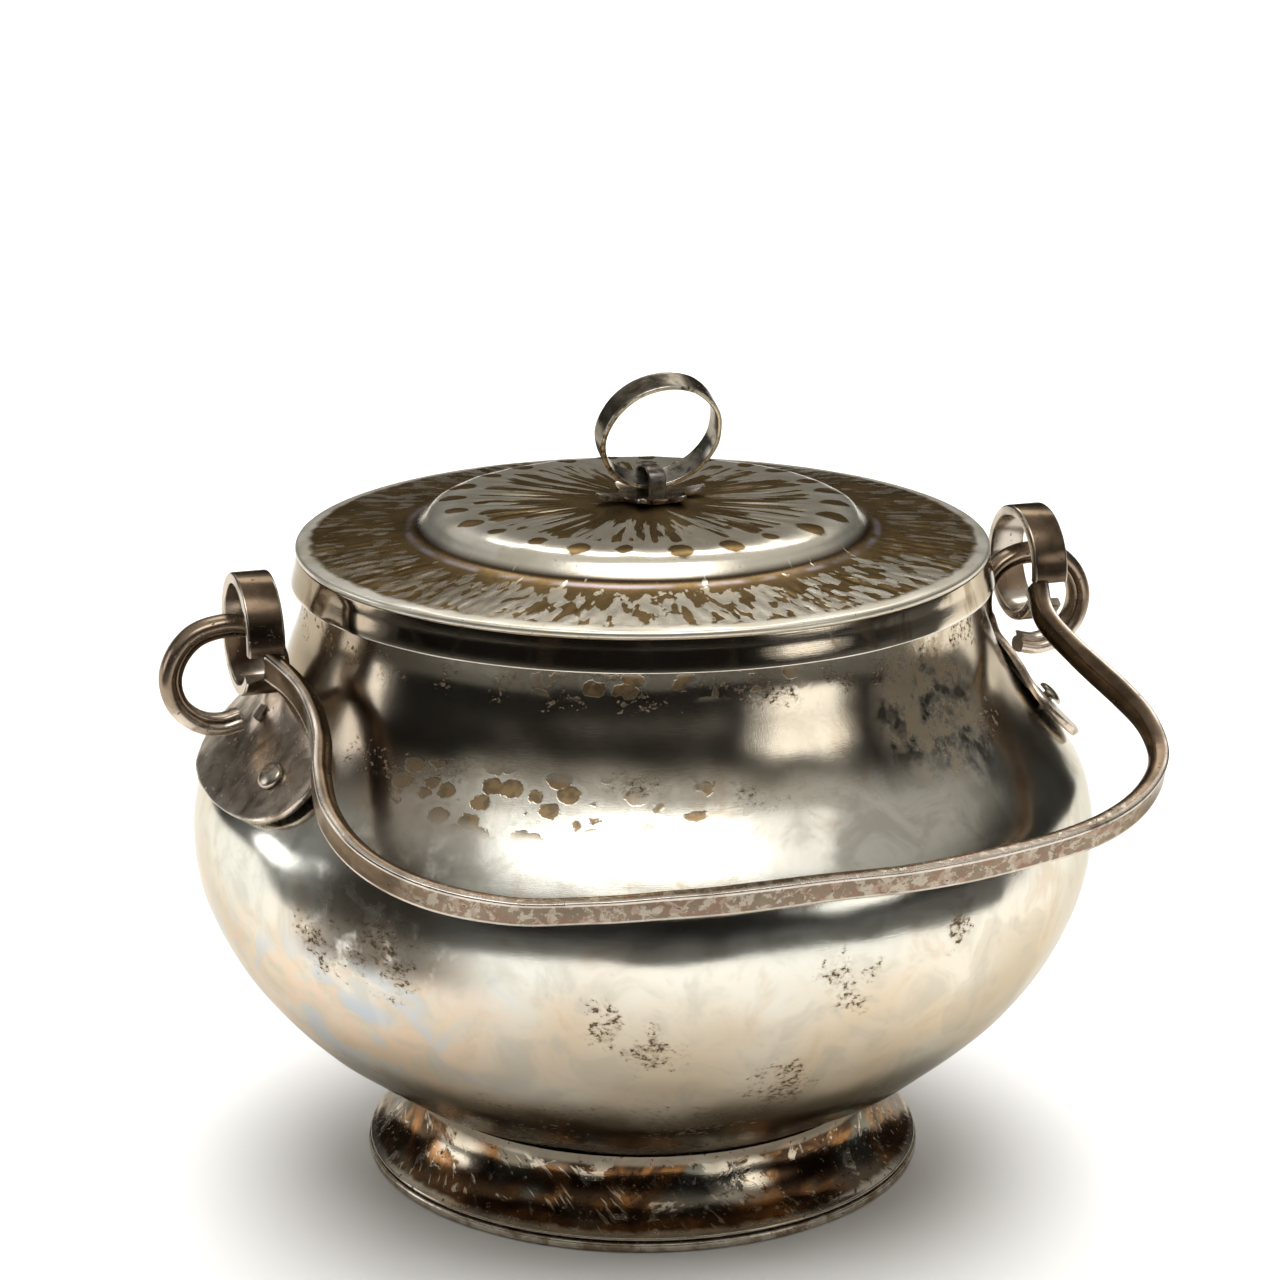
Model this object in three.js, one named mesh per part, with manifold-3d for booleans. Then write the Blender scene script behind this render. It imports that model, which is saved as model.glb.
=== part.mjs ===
// A covered sugar bowl in hand-hammered silver, with a swinging bail handle.
// Millimetres, +Z up. The origin is on the table under the centre of the foot, +X runs through the two
// ears, and the bail hangs forward over -Y.
import * as THREE from 'three';
import { mergeVertices } from 'three/addons/utils/BufferGeometryUtils.js';
import Module from 'manifold-3d';

const wasm = await Module();
wasm.setup();

// ---- Driving dimensions ------------------------------------------------------------------------------
const SEGMENTS = 42; // facets round the large turned pieces
const GAP = 0.3; // solder and running clearance between neighbouring pieces

// Bowl: outside profile as [radius, height], from the bottom centre up to the rim.
const BOWL_WALL = 1.0;
const BOWL_BOTTOM = [[0, 6.0], [14, 6.5], [25, 8.2], [32.4, 11.4]];
const BOWL_BELLY = [
  [37.4, 14.3], [41.8, 17.4], [45.6, 20.4], [48.9, 23.5], [51.6, 26.4], [53.9, 29.4], [55.8, 32.4],
  [57.4, 35.6], [58.8, 39.4], [59.7, 43.4], [60.0, 47.2], [59.6, 50.8], [58.6, 54.3],
];
const BOWL_NECK = [
  [57.1, 56.6], [55.3, 58.8], [53.2, 61.1], [51.1, 63.5], [49.2, 66.2], [47.7, 69.0], [46.5, 72.0],
  [45.6, 75.0], [44.9, 78.0], [44.5, 80.5], [44.4, 83.8],
];

// Foot: a flared, hollow ring with a base wire soldered under it.
const FOOT_SHEET = 1.1;
const FOOT_PROFILE = [[32.2, 10.9], [32.1, 9.4], [32.5, 7.4], [33.5, 5.4], [35.0, 3.6], [36.9, 2.1]];
const BASE_WIRE = { inner: 35.6, outer: 37.6, height: 1.25, edge: 0.35 };

// Lid: a sheet with a raised round boss, and a shallow skirt that fits over the neck.
const LID_SHEET = 0.95;
const LID_PROFILE = [
  [0, 90.0], [14, 90.0], [22.5, 89.9], [26.2, 89.6], [27.8, 88.9], [28.7, 87.9], [29.6, 87.0], [31.2, 86.5],
  [35, 86.1], [40, 85.65], [44.5, 85.15],
];
const LID_EDGE_RADIUS = 45.6;
const SKIRT = { top: 83.85, bottom: 80.0, topRadius: 45.5, bottomRadius: 46.3, sheet: 0.85 };

// Finial: a band ring held by a staple over a cut-out rosette, set slightly off the lid's centre.
const FINIAL_X = 1.1;
const FINIAL_RING = { outer: 8.2, thick: 0.65, width: 3.3, lean: 23.5, pivotZ: 92.6 };
const ROSETTE = { z: 90.3, sheet: 0.6, hub: 4.3, longPetal: 7.6, shortPetal: 6.0, petals: 6, lift: 0.6 };
const STAPLE = { width: 2.3, thick: 0.6, span: 2.7, top: 94.35, splay: 6.6, underside: 88.45 };

// Ears: an oval plate wrapped round the shoulder, its top drawn out into a wire and curled into an eye.
const PLATE = { sheet: 1.1, curl: 0.35, wrapRadius: 57, centreZ: 61.0 };
const PLATE_OUTLINE = [ // half outline as [arc from the ear's centre line, height]
  [0, 69.0], [4, 68.5], [9.3, 67.5], [14, 66.4], [17.5, 65.2], [20.2, 63.6], [21.6, 61.8], [21.5, 60.0],
  [20.2, 58.1], [17, 56.4], [12, 55.5], [6, 55.2], [0, 55.2],
];
const EYE_WIRE = { radial: 2.9, neck: 2.1, width: 3.5, corner: 0.8 };
const EYE_PATH = [ // wire centre line as [distance out, height]
  [52.0, 64.9], [50.5, 66.9], [49.5, 69.2], [49.05, 71.6], [49.4, 74.2], [51.2, 76.6], [54.1, 77.9], [57.2, 78.0],
  [60.3, 77.0], [62.6, 74.5], [63.5, 71.4], [62.6, 68.1], [60.2, 65.8], [57.2, 65.0], [54.6, 65.5],
];
const RIVET = { arc: 13, z: 60.4, head: 2.15, dome: 0.9, shank: 0.9, inside: 1.9 };

// Bail: a half-round rod with flattened ends curled into rings, hinged on the line through both rings.
const HINGE = { y: -2.0, z: 77.4, restAngle: 19.9 }; // rest angle is measured down from level
const BAIL_ROD = { depth: 2.5, height: 3.5 };
const BAIL_RING = { inner: 6.45, outer: 7.9, width: 4.8, left: -53.0, right: 54.7, slit: 0.5 };
const BAIL_PATH = [ // rod centre line as [x, distance from the hinge]; hand bent, so the sides differ a little
  [-52.2, 7.2], [-50.7, 10.6], [-49.7, 14.5], [-49.4, 19], [-49.9, 24], [-51.6, 30.8], [-52.3, 38.6],
  [-50.6, 46.4], [-45.2, 53.4], [-37.0, 58.2], [-26.3, 60.2], [-12.8, 61.1], [0.4, 61.2], [14.7, 61.2],
  [29.4, 59.4], [40.8, 56.4], [48.6, 51.6], [53.6, 45.4], [55.3, 38.4], [54.7, 31.0], [52.5, 22.0],
  [51.5, 13.5], [53.0, 7.2],
];

// ---- Shapes ------------------------------------------------------------------------------------------
const rad = THREE.MathUtils.degToRad;

// A smooth open or closed curve through [x, y] points, sampled evenly.
function smooth(points, count, closed = false) {
  const curve = new THREE.CatmullRomCurve3(
    points.map(([x, y]) => new THREE.Vector3(x, y, 0)), closed, 'centripetal',
  );
  return curve.getSpacedPoints(count).map((p) => [p.x, p.y]);
}

// The polyline moved sideways by `distance`, to its left when walking along it.
function offset(line, distance) {
  return line.map((p, i) => {
    const a = line[Math.max(i - 1, 0)];
    const b = line[Math.min(i + 1, line.length - 1)];
    const [dx, dy] = [b[0] - a[0], b[1] - a[1]];
    const length = Math.hypot(dx, dy);
    return [p[0] - (dy / length) * distance, p[1] + (dx / length) * distance];
  });
}

// A bare geometry with shared vertices, no collapsed faces, and its faces pointing out.
function solid(geometry) {
  const bare = new THREE.BufferGeometry();
  bare.setAttribute('position', geometry.getAttribute('position'));
  if (geometry.index) bare.setIndex(geometry.index);
  const merged = mergeVertices(bare, 1e-4);
  const { array } = merged.index;
  const at = (i) => new THREE.Vector3().fromBufferAttribute(merged.getAttribute('position'), i);
  const faces = [];
  let volume = 0;
  for (let i = 0; i < array.length; i += 3) {
    const [a, b, c] = [array[i], array[i + 1], array[i + 2]];
    if (a === b || b === c || c === a) continue;
    faces.push([a, b, c]);
    volume += at(a).dot(at(b).cross(at(c)));
  }
  merged.setIndex(faces.flatMap(([a, b, c]) => (volume < 0 ? [a, c, b] : [a, b, c])));
  return merged;
}

// A closed [radius, height] outline turned about Z.
function turned(outline, segments = SEGMENTS) {
  const loop = [...outline, outline[0]].map(([r, z]) => new THREE.Vector2(r, z));
  return solid(new THREE.LatheGeometry(loop, segments).rotateX(Math.PI / 2));
}

// A skin over a row of equal rings of points, with both ends capped.
function skinned(rings) {
  const n = rings[0].length;
  const points = rings.flat();
  const faces = [];
  for (let i = 0; i < rings.length - 1; i++) {
    for (let j = 0; j < n; j++) {
      const [a, b] = [i * n, (i + 1) * n];
      const k = (j + 1) % n;
      faces.push(a + j, b + j, a + k, a + k, b + j, b + k);
    }
  }
  for (const end of [0, rings.length - 1]) {
    const hub = points.length;
    points.push([0, 1, 2].map((axis) => rings[end].reduce((sum, p) => sum + p[axis], 0) / n));
    for (let j = 0; j < n; j++) {
      const [p, q] = [end * n + j, end * n + ((j + 1) % n)];
      faces.push(...(end === 0 ? [hub, p, q] : [hub, q, p]));
    }
  }
  const geometry = new THREE.BufferGeometry();
  geometry.setAttribute('position', new THREE.Float32BufferAttribute(points.flat(), 3));
  geometry.setIndex(faces);
  return solid(geometry);
}

function box(width, depth, height, x, y, z) {
  return solid(new THREE.BoxGeometry(width, depth, height).translate(x, y, z));
}

function toManifold(geometry) {
  return new wasm.Manifold(new wasm.Mesh({
    numProp: 3,
    vertProperties: new Float32Array(geometry.getAttribute('position').array),
    triVerts: new Uint32Array(geometry.index.array),
  }));
}

function fromManifold(manifold) {
  const mesh = manifold.getMesh();
  const geometry = new THREE.BufferGeometry();
  geometry.setAttribute('position', new THREE.BufferAttribute(mesh.vertProperties, 3));
  geometry.setIndex(new THREE.BufferAttribute(mesh.triVerts, 1));
  return geometry;
}

function join(first, ...others) {
  return fromManifold(others.reduce((sum, g) => sum.add(toManifold(g)), toManifold(first)));
}

function cut(first, ...others) {
  return fromManifold(others.reduce((rest, g) => rest.subtract(toManifold(g)), toManifold(first)));
}

// ---- Bowl --------------------------------------------------------------------------------------------
const bowlOutside = smooth([...BOWL_BOTTOM, ...BOWL_BELLY, ...BOWL_NECK], 26);
const bowlInside = offset(bowlOutside, BOWL_WALL).slice(1, -1);
const bowlTurned = turned([
  ...bowlOutside.slice(0, -1),
  [44.4, 83.5], [44.15, 83.8], [43.6, 83.8], [43.4, 83.5],
  ...bowlInside.reverse().filter((_, i) => i % 3 !== 1),
  [0, BOWL_BOTTOM[0][1] + BOWL_WALL],
]);

// Outside radius of the bowl at a height, and the outward direction there in the radial plane.
const wallLine = smooth([...BOWL_BELLY, ...BOWL_NECK], 120);
function bowlWall(z) {
  let i = 1;
  while (i < wallLine.length - 2 && wallLine[i][1] < z) i++;
  const [a, b] = [wallLine[i - 1], wallLine[i]];
  const t = (z - a[1]) / (b[1] - a[1]);
  const slope = (b[0] - a[0]) / (b[1] - a[1]);
  const length = Math.hypot(1, slope);
  return { radius: a[0] + t * (b[0] - a[0]), normalR: 1 / length, normalZ: -slope / length };
}

// A point `out` mm off the bowl's surface, `arc` mm round from the +X ear's centre line.
function onBowl(arc, z, out) {
  const wall = bowlWall(z);
  const angle = arc / PLATE.wrapRadius;
  const r = wall.radius + out * wall.normalR;
  return [r * Math.cos(angle), r * Math.sin(angle), z + out * wall.normalZ];
}

// Where a rivet sits: its own Z axis points straight out of the bowl.
function rivetMatrix(arc) {
  const foot = new THREE.Vector3(...onBowl(arc, RIVET.z, 0));
  const out = new THREE.Vector3(...onBowl(arc, RIVET.z, 1)).sub(foot).normalize();
  const tilt = new THREE.Quaternion().setFromUnitVectors(new THREE.Vector3(0, 0, 1), out);
  return new THREE.Matrix4().compose(foot, tilt, new THREE.Vector3(1, 1, 1));
}

const rivetMatrices = [-RIVET.arc, RIVET.arc].map(rivetMatrix);
const halfTurn = new THREE.Matrix4().makeRotationZ(Math.PI);
const holeRadius = RIVET.shank + GAP;
const rivetHole = (matrix) => solid(
  new THREE.CylinderGeometry(holeRadius, holeRadius, 8, 14).rotateX(Math.PI / 2).applyMatrix4(matrix),
);
const rightHoles = rivetMatrices.map(rivetHole);
const leftHoles = rightHoles.map((hole) => hole.clone().applyMatrix4(halfTurn));
const bowl = cut(bowlTurned, ...rightHoles, ...leftHoles);

// ---- Foot --------------------------------------------------------------------------------------------
const footOutside = smooth(FOOT_PROFILE, 8);
const footInside = offset(footOutside, -FOOT_SHEET).reverse();
const wireTop = BASE_WIRE.height + GAP;
const foot = turned([
  ...footOutside, [37.35, 1.85], [37.35, wireTop], [BASE_WIRE.inner + 0.4, wireTop],
  ...footInside.slice(1, -1), [FOOT_PROFILE[0][0] - FOOT_SHEET, 10.2],
]);
const { inner: wi, outer: wo, height: wh, edge: we } = BASE_WIRE;
const baseWire = turned([[wi, 0], [wo - we, 0], [wo, we], [wo, wh - we], [wo - we, wh], [wi, wh]]);

// ---- Lid ---------------------------------------------------------------------------------------------
const lidTop = smooth(LID_PROFILE, 14);
const lidUnder = offset(lidTop, -LID_SHEET).slice(1, -1).reverse();
const lidEdgeZ = SKIRT.top + GAP;
const lidTurned = turned([
  ...lidTop, [LID_EDGE_RADIUS - 0.3, 84.98], [LID_EDGE_RADIUS, 84.6], [LID_EDGE_RADIUS - 0.1, lidEdgeZ],
  [44.4, lidEdgeZ], ...lidUnder, [0, LID_PROFILE[0][1] - LID_SHEET],
]);
const slots = [-1, 1].map((side) => box(
  STAPLE.width + 2 * GAP, STAPLE.thick + 2 * GAP, 6, FINIAL_X, side * STAPLE.span, 90,
));
const lidPlate = cut(lidTurned, ...slots);

const skirt = turned([
  [SKIRT.topRadius - SKIRT.sheet, SKIRT.top], [SKIRT.topRadius, SKIRT.top], [45.7, 82.6], [46.0, 81.3],
  [SKIRT.bottomRadius, SKIRT.bottom + 0.3], [SKIRT.bottomRadius - 0.2, SKIRT.bottom],
  [SKIRT.bottomRadius - SKIRT.sheet - 0.1, SKIRT.bottom], [45.1, 81.3], [44.85, 82.6],
]);

// ---- Finial ------------------------------------------------------------------------------------------
// Rosette: a hub disc with leaf-shaped petals whose tips curl up off the lid.
function petal(angle, reach) {
  const rings = [];
  const steps = 7;
  for (let i = 0; i <= steps; i++) {
    const t = i / steps;
    const r = 2.6 + (reach - 2.6) * t;
    const half = 1.15 * Math.sqrt(Math.max(1 - (2 * t - 0.7) ** 2 / 1.75, 0.04));
    const z = ROSETTE.z + ROSETTE.lift * Math.max(0, (t - 0.35) / 0.65) ** 2;
    const at = (across, up) => [
      FINIAL_X + r * Math.cos(angle) - across * Math.sin(angle),
      r * Math.sin(angle) + across * Math.cos(angle),
      z + up,
    ];
    rings.push([at(-half, 0), at(half, 0), at(half, ROSETTE.sheet), at(-half, ROSETTE.sheet)]);
  }
  return skinned(rings);
}
const hubDisc = solid(new THREE.CylinderGeometry(ROSETTE.hub, ROSETTE.hub, ROSETTE.sheet, 36)
  .rotateX(Math.PI / 2).translate(FINIAL_X, 0, ROSETTE.z + ROSETTE.sheet / 2));
const petals = Array.from({ length: ROSETTE.petals }, (_, i) => petal(
  (i * 2 * Math.PI) / ROSETTE.petals,
  i % (ROSETTE.petals / 2) === 0 ? ROSETTE.longPetal : ROSETTE.shortPetal,
));
const rosette = cut(join(hubDisc, ...petals), ...slots);

// Staple: one strip bent over the ring, through the lid and splayed flat underneath.
const { span, top, splay, underside } = STAPLE;
const stapleHalf = [
  [-splay, underside], [-span - 1.0, underside], [-span - 0.25, underside + 0.2], [-span, underside + 0.9],
  [-span, 91.5], [-span, top - 1.3], [-span + 0.5, top - 0.4], [-span + 1.4, top], [0, top],
];
const stapleLine = [...stapleHalf, ...stapleHalf.slice(0, -1).reverse().map(([y, z]) => [-y, z])];
const stapleOuter = offset(stapleLine, STAPLE.thick / 2);
const stapleInner = offset(stapleLine, -STAPLE.thick / 2);
const stapleSides = [FINIAL_X - STAPLE.width / 2, FINIAL_X + STAPLE.width / 2];
const staple = skinned(stapleLine.map((_, i) => [
  [stapleSides[0], ...stapleOuter[i]], [stapleSides[1], ...stapleOuter[i]],
  [stapleSides[1], ...stapleInner[i]], [stapleSides[0], ...stapleInner[i]],
]));

// Ring: a flat band, standing on the middle of its lowest part, with its axis along Y.
const { outer: fo, thick: ft, width: fw } = FINIAL_RING;
const [fh, fb] = [fw / 2, 0.15];
const finialRing = turned([
  [fo - ft, -fh + fb], [fo - ft + fb, -fh], [fo - fb, -fh], [fo, -fh + fb],
  [fo, fh - fb], [fo - fb, fh], [fo - ft + fb, fh], [fo - ft, fh - fb],
], 44).rotateX(Math.PI / 2).translate(0, 0, fo - ft / 2);

// ---- Ears --------------------------------------------------------------------------------------------
// Plate: rings of points from the middle of the outside face, over the edge, to the middle of the back.
function earPlate() {
  const mirrored = PLATE_OUTLINE.slice(1, -1).reverse().map(([s, z]) => [-s, z]);
  const outline = smooth([...PLATE_OUTLINE, ...mirrored], 42, true).slice(0, -1);
  const layer = (fraction, lift) => outline.map(([s, z]) => onBowl(
    s * fraction, PLATE.centreZ + (z - PLATE.centreZ) * fraction,
    GAP + PLATE.curl * fraction ** 4 + lift,
  ));
  const face = [0.06, 0.45, 0.8, 0.97];
  return skinned([
    ...face.map((f) => layer(f, PLATE.sheet)), layer(1, PLATE.sheet * 0.75), layer(1, PLATE.sheet * 0.25),
    ...face.reverse().map((f) => layer(f, 0)),
  ]);
}

// Wire: a softened rectangle carried round the eye, growing out of the plate's drawn-out top.
function eyeWire() {
  const path = smooth(EYE_PATH, 32);
  const side = offset(path, 1).map((p, i) => [p[0] - path[i][0], p[1] - path[i][1]]);
  return skinned(path.map(([x, z], i) => {
    const full = THREE.MathUtils.clamp((i - 9) / 5, 0, 1);
    const a = THREE.MathUtils.lerp(EYE_WIRE.neck, EYE_WIRE.radial, full) / 2;
    const b = EYE_WIRE.width / 2;
    const c = EYE_WIRE.corner;
    const outline = [
      [-a, -b + c], [-a + c, -b], [a - c, -b], [a, -b + c], [a, b - c], [a - c, b], [-a + c, b], [-a, b - c],
    ];
    return outline.map(([across, y]) => [x + side[i][0] * across, y, z + side[i][1] * across]);
  }));
}
const ear = cut(join(earPlate(), eyeWire()), ...rightHoles);

// Rivet: a domed head outside the plate and a flat upset head inside the bowl.
const headSeat = GAP + PLATE.sheet + GAP;
const tailSeat = -BOWL_WALL - GAP;
const rivet = turned([
  [0, tailSeat - 0.7], [RIVET.inside - 0.3, tailSeat - 0.7], [RIVET.inside, tailSeat - 0.35],
  [RIVET.inside, tailSeat], [RIVET.shank, tailSeat], [RIVET.shank, headSeat], [RIVET.head, headSeat],
  [RIVET.head, headSeat + 0.25], [RIVET.head * 0.72, headSeat + 0.7], [0, headSeat + RIVET.dome],
], 14);

// ---- Bail --------------------------------------------------------------------------------------------
// Built level, with the hinge line on X and the rod running out along -Y.
const bailLine = smooth(BAIL_PATH, 56);
const bailSide = offset(bailLine, 1).map((p, i) => [p[0] - bailLine[i][0], p[1] - bailLine[i][1]]);
const rodOutline = [[1, -1], [1, 1]]; // flat outer face, then the rounded back
for (let i = 0; i <= 7; i++) {
  const angle = Math.PI / 2 + (i * Math.PI) / 7;
  rodOutline.push([0.35 + 1.35 * Math.cos(angle), Math.sin(angle) * 0.97]);
}
const rod = skinned(bailLine.map(([x, d], i) => rodOutline.map(([out, up]) => [
  x + bailSide[i][0] * out * (BAIL_ROD.depth / 2),
  -(d + bailSide[i][1] * out * (BAIL_ROD.depth / 2)),
  up * (BAIL_ROD.height / 2),
])));
const { inner: ri, outer: ro, width: rw } = BAIL_RING;
const ringBand = turned([
  [ri, -rw / 2 + 0.3], [ri + 0.3, -rw / 2], [ro - 0.35, -rw / 2], [ro, -rw / 2 + 0.35],
  [ro, rw / 2 - 0.35], [ro - 0.35, rw / 2], [ri + 0.3, rw / 2], [ri, rw / 2 - 0.3],
], 36).rotateY(Math.PI / 2);
// The curled end stops just short of the rod, so each ring has a slit above it.
const slit = box(rw + 2, 4, BAIL_RING.slit, 0, -(ri + 0.8), BAIL_ROD.height / 2 + 0.45);
const openRing = cut(ringBand, slit);
const bail = join(
  rod, openRing.clone().translate(BAIL_RING.left, 0, 0), openRing.clone().translate(BAIL_RING.right, 0, 0),
);

// ---- Assembly ----------------------------------------------------------------------------------------
const silver = (color, roughness) => new THREE.MeshStandardMaterial({ color, roughness, metalness: 1 });

function piece(name, geometry, material) {
  geometry.computeVertexNormals();
  const mesh = new THREE.Mesh(geometry, material);
  mesh.name = name;
  return mesh;
}

const earSilver = silver(0x8f8677, 0.34);
const rivetSilver = silver(0x9a9082, 0.36);

const bowlGroup = new THREE.Group();
bowlGroup.name = 'bowl_and_foot';
bowlGroup.add(
  piece('bowl_body', bowl, silver(0xb9b0a0, 0.22)),
  piece('foot', foot, silver(0x8d7454, 0.3)),
  piece('foot_base_wire', baseWire, silver(0xa89c88, 0.28)),
);

// The left ear is the right one turned half way round, so its front and back rivets swap.
for (const [side, turn, order] of [['right', 0, ['front', 'back']], ['left', Math.PI, ['back', 'front']]]) {
  const earGroup = new THREE.Group();
  earGroup.name = `${side}_side`;
  earGroup.rotation.z = turn;
  earGroup.add(piece(`ear_${side}`, ear.clone(), earSilver));
  rivetMatrices.forEach((matrix, i) => {
    const mesh = piece(`rivet_${side}_${order[i]}`, rivet.clone(), rivetSilver);
    mesh.applyMatrix4(matrix);
    earGroup.add(mesh);
  });
  bowlGroup.add(earGroup);
}

const lid = new THREE.Group();
lid.name = 'lid';
const ringMesh = piece('finial_ring', finialRing, silver(0x6f685c, 0.3));
ringMesh.position.set(FINIAL_X, 0, FINIAL_RING.pivotZ);
ringMesh.rotation.x = rad(FINIAL_RING.lean);
lid.add(
  piece('lid_plate', lidPlate, silver(0x93805f, 0.3)),
  piece('lid_skirt', skirt, silver(0x9d9484, 0.2)),
  piece('finial_rosette', rosette, silver(0x7b654c, 0.36)),
  piece('finial_staple', staple, silver(0x6c655b, 0.4)),
  ringMesh,
);

const bailMesh = piece('bail', bail, silver(0x8f7f66, 0.32));
bailMesh.position.set(0, HINGE.y, HINGE.z);
bailMesh.rotation.x = rad(HINGE.restAngle);

const sugarBowl = new THREE.Group();
sugarBowl.name = 'sugar_bowl';
sugarBowl.add(bowlGroup, lid, bailMesh);

export default sugarBowl;
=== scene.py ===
import math

import bpy
import numpy as np
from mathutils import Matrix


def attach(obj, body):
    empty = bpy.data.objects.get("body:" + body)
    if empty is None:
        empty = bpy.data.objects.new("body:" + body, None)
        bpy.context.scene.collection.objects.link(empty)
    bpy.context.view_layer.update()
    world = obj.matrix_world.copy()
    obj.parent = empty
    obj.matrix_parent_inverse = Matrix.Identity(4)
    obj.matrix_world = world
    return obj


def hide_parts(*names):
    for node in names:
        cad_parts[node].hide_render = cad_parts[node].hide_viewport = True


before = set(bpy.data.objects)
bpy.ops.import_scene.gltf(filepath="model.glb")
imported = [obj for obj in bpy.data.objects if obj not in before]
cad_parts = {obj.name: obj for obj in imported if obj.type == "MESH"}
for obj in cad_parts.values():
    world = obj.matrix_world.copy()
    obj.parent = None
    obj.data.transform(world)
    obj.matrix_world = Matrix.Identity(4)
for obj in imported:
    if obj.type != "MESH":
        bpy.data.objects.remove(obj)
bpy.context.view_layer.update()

TAU = 2 * math.pi
MM = 0.001

# ---- Dimensions, in millimetres, as in the CAD; the top of the neck and the lid's edge are drawn finer ----
BOWL_WALL = 1.0
BOWL_BOTTOM = [(0, 6.0), (14, 6.5), (25, 8.2), (32.4, 11.4)]
BOWL_BELLY = [
    (37.4, 14.3), (41.8, 17.4), (45.6, 20.4), (48.9, 23.5), (51.6, 26.4), (53.9, 29.4), (55.8, 32.4),
    (57.4, 35.6), (58.8, 39.4), (59.7, 43.4), (60.0, 47.2), (59.6, 50.8), (58.6, 54.3),
]
BOWL_NECK = [
    (57.1, 56.6), (55.3, 58.8), (53.2, 61.1), (51.1, 63.5), (49.2, 66.2), (47.7, 69.0), (46.5, 72.0),
    (45.45, 74.8), (44.8, 77.2), (44.52, 79.6), (44.4, 83.3),
]
RIM = {"middle": 43.9, "half": 0.5, "z": 83.3}  # the bowl's rounded rim
FOOT_SHEET = 1.1
FOOT_PROFILE = [(32.2, 10.9), (32.1, 9.4), (32.5, 7.4), (33.5, 5.4), (35.0, 3.6), (36.9, 2.1)]
WIRE = {"inner": 35.6, "outer": 37.6, "height": 1.25}
LID_SHEET = 0.95
LID_PROFILE = [
    (0, 90.0), (14, 90.0), (22.5, 89.9), (26.2, 89.6), (27.8, 88.9), (28.7, 87.9), (29.6, 87.0),
    (31.2, 86.5), (35, 86.1), (40, 85.65), (44.3, 85.17),
]
LID_EDGE = {"top": (45.6, 85.0), "bottom": (45.5, 84.15), "inner": (44.4, 84.15)}
SPOTS, SPOT_CIRCLE, SPOT_MIDDLE = 24, 25.2, 24.9  # the hollows round the boss
SKIRT_LOOP = [
    (44.65, 84.2), (45.38, 84.2), (45.66, 82.6), (46.0, 81.3), (46.3, 80.0), (45.35, 80.0), (45.1, 81.3),
    (44.85, 82.6),
]
SKIRT_CORNERS = [0.12, 0.25, 0.3, 0.3, 0.22, 0.22, 0.3, 0.3]
FINIAL_X = 1.1  # the finial stands slightly off the lid's centre
RING = {"outer": 8.2, "thick": 0.65, "width": 3.3, "lean": 23.5, "pivot": 92.6}
ROSETTE = {
    "z": 90.3, "sheet": 0.6, "hub": 4.3, "long": 7.6, "short": 6.0, "lift": 0.6, "petals": 6,
    "root": 2.6, "half": 1.15,  # where a petal starts, and half its width
}
STAPLE = {"width": 2.3, "thick": 0.6, "span": 2.7, "top": 94.35, "splay": 6.6, "under": 88.45}
GAP = 0.3  # solder and running clearance between neighbouring pieces
PLATE = {"sheet": 1.1, "curl": 0.35, "wrap": 57.0, "middle": 61.0}
PLATE_RIDGE = {"half": 3.4, "from": 61.5, "to": 67.5, "height": 1.3}  # where the plate is drawn up into the wire
PLATE_OUTLINE = [
    (0, 69.0), (4, 68.5), (9.3, 67.5), (14, 66.4), (17.5, 65.2), (20.2, 63.6), (21.6, 61.8), (21.5, 60.0),
    (20.2, 58.1), (17, 56.4), (12, 55.5), (6, 55.2), (0, 55.2),
]
EYE_PATH = [
    (52.0, 64.9), (50.5, 66.9), (49.5, 69.2), (49.05, 71.6), (49.4, 74.2), (51.2, 76.6), (54.1, 77.9),
    (57.2, 78.0), (60.3, 77.0), (62.6, 74.5), (63.5, 71.4), (62.6, 68.1), (60.2, 65.8), (57.2, 65.0),
    (54.6, 65.5),
]
EYE_WIRE = {"neck": 2.1, "more": 0.8, "parts": 32, "plain": 9, "blend": 5}  # thickens from 9 to 14 parts in 32
RIVET = {"arc": 13, "z": 60.4, "head": 2.15, "dome": 0.9, "shank": 0.9, "inside": 1.9}
HINGE = {"y": -2.0, "z": 77.4, "rest": 19.9}  # the rest angle is measured down from level
BAIL_ROD = {"depth": 2.5, "height": 3.5, "parts": 230}
BAIL_RING = {"inner": 6.45, "outer": 7.9, "width": 4.8, "left": -53.0, "right": 54.7}
BAIL_PATH = [
    (-52.2, 7.2), (-50.7, 10.6), (-49.7, 14.5), (-49.4, 19), (-49.9, 24), (-51.6, 30.8), (-52.3, 38.6),
    (-50.6, 46.4), (-45.2, 53.4), (-37.0, 58.2), (-26.3, 60.2), (-12.8, 61.1), (0.4, 61.2), (14.7, 61.2),
    (29.4, 59.4), (40.8, 56.4), (48.6, 51.6), (53.6, 45.4), (55.3, 38.4), (54.7, 31.0), (52.5, 22.0),
    (51.5, 13.5), (53.0, 7.2),
]


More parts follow.
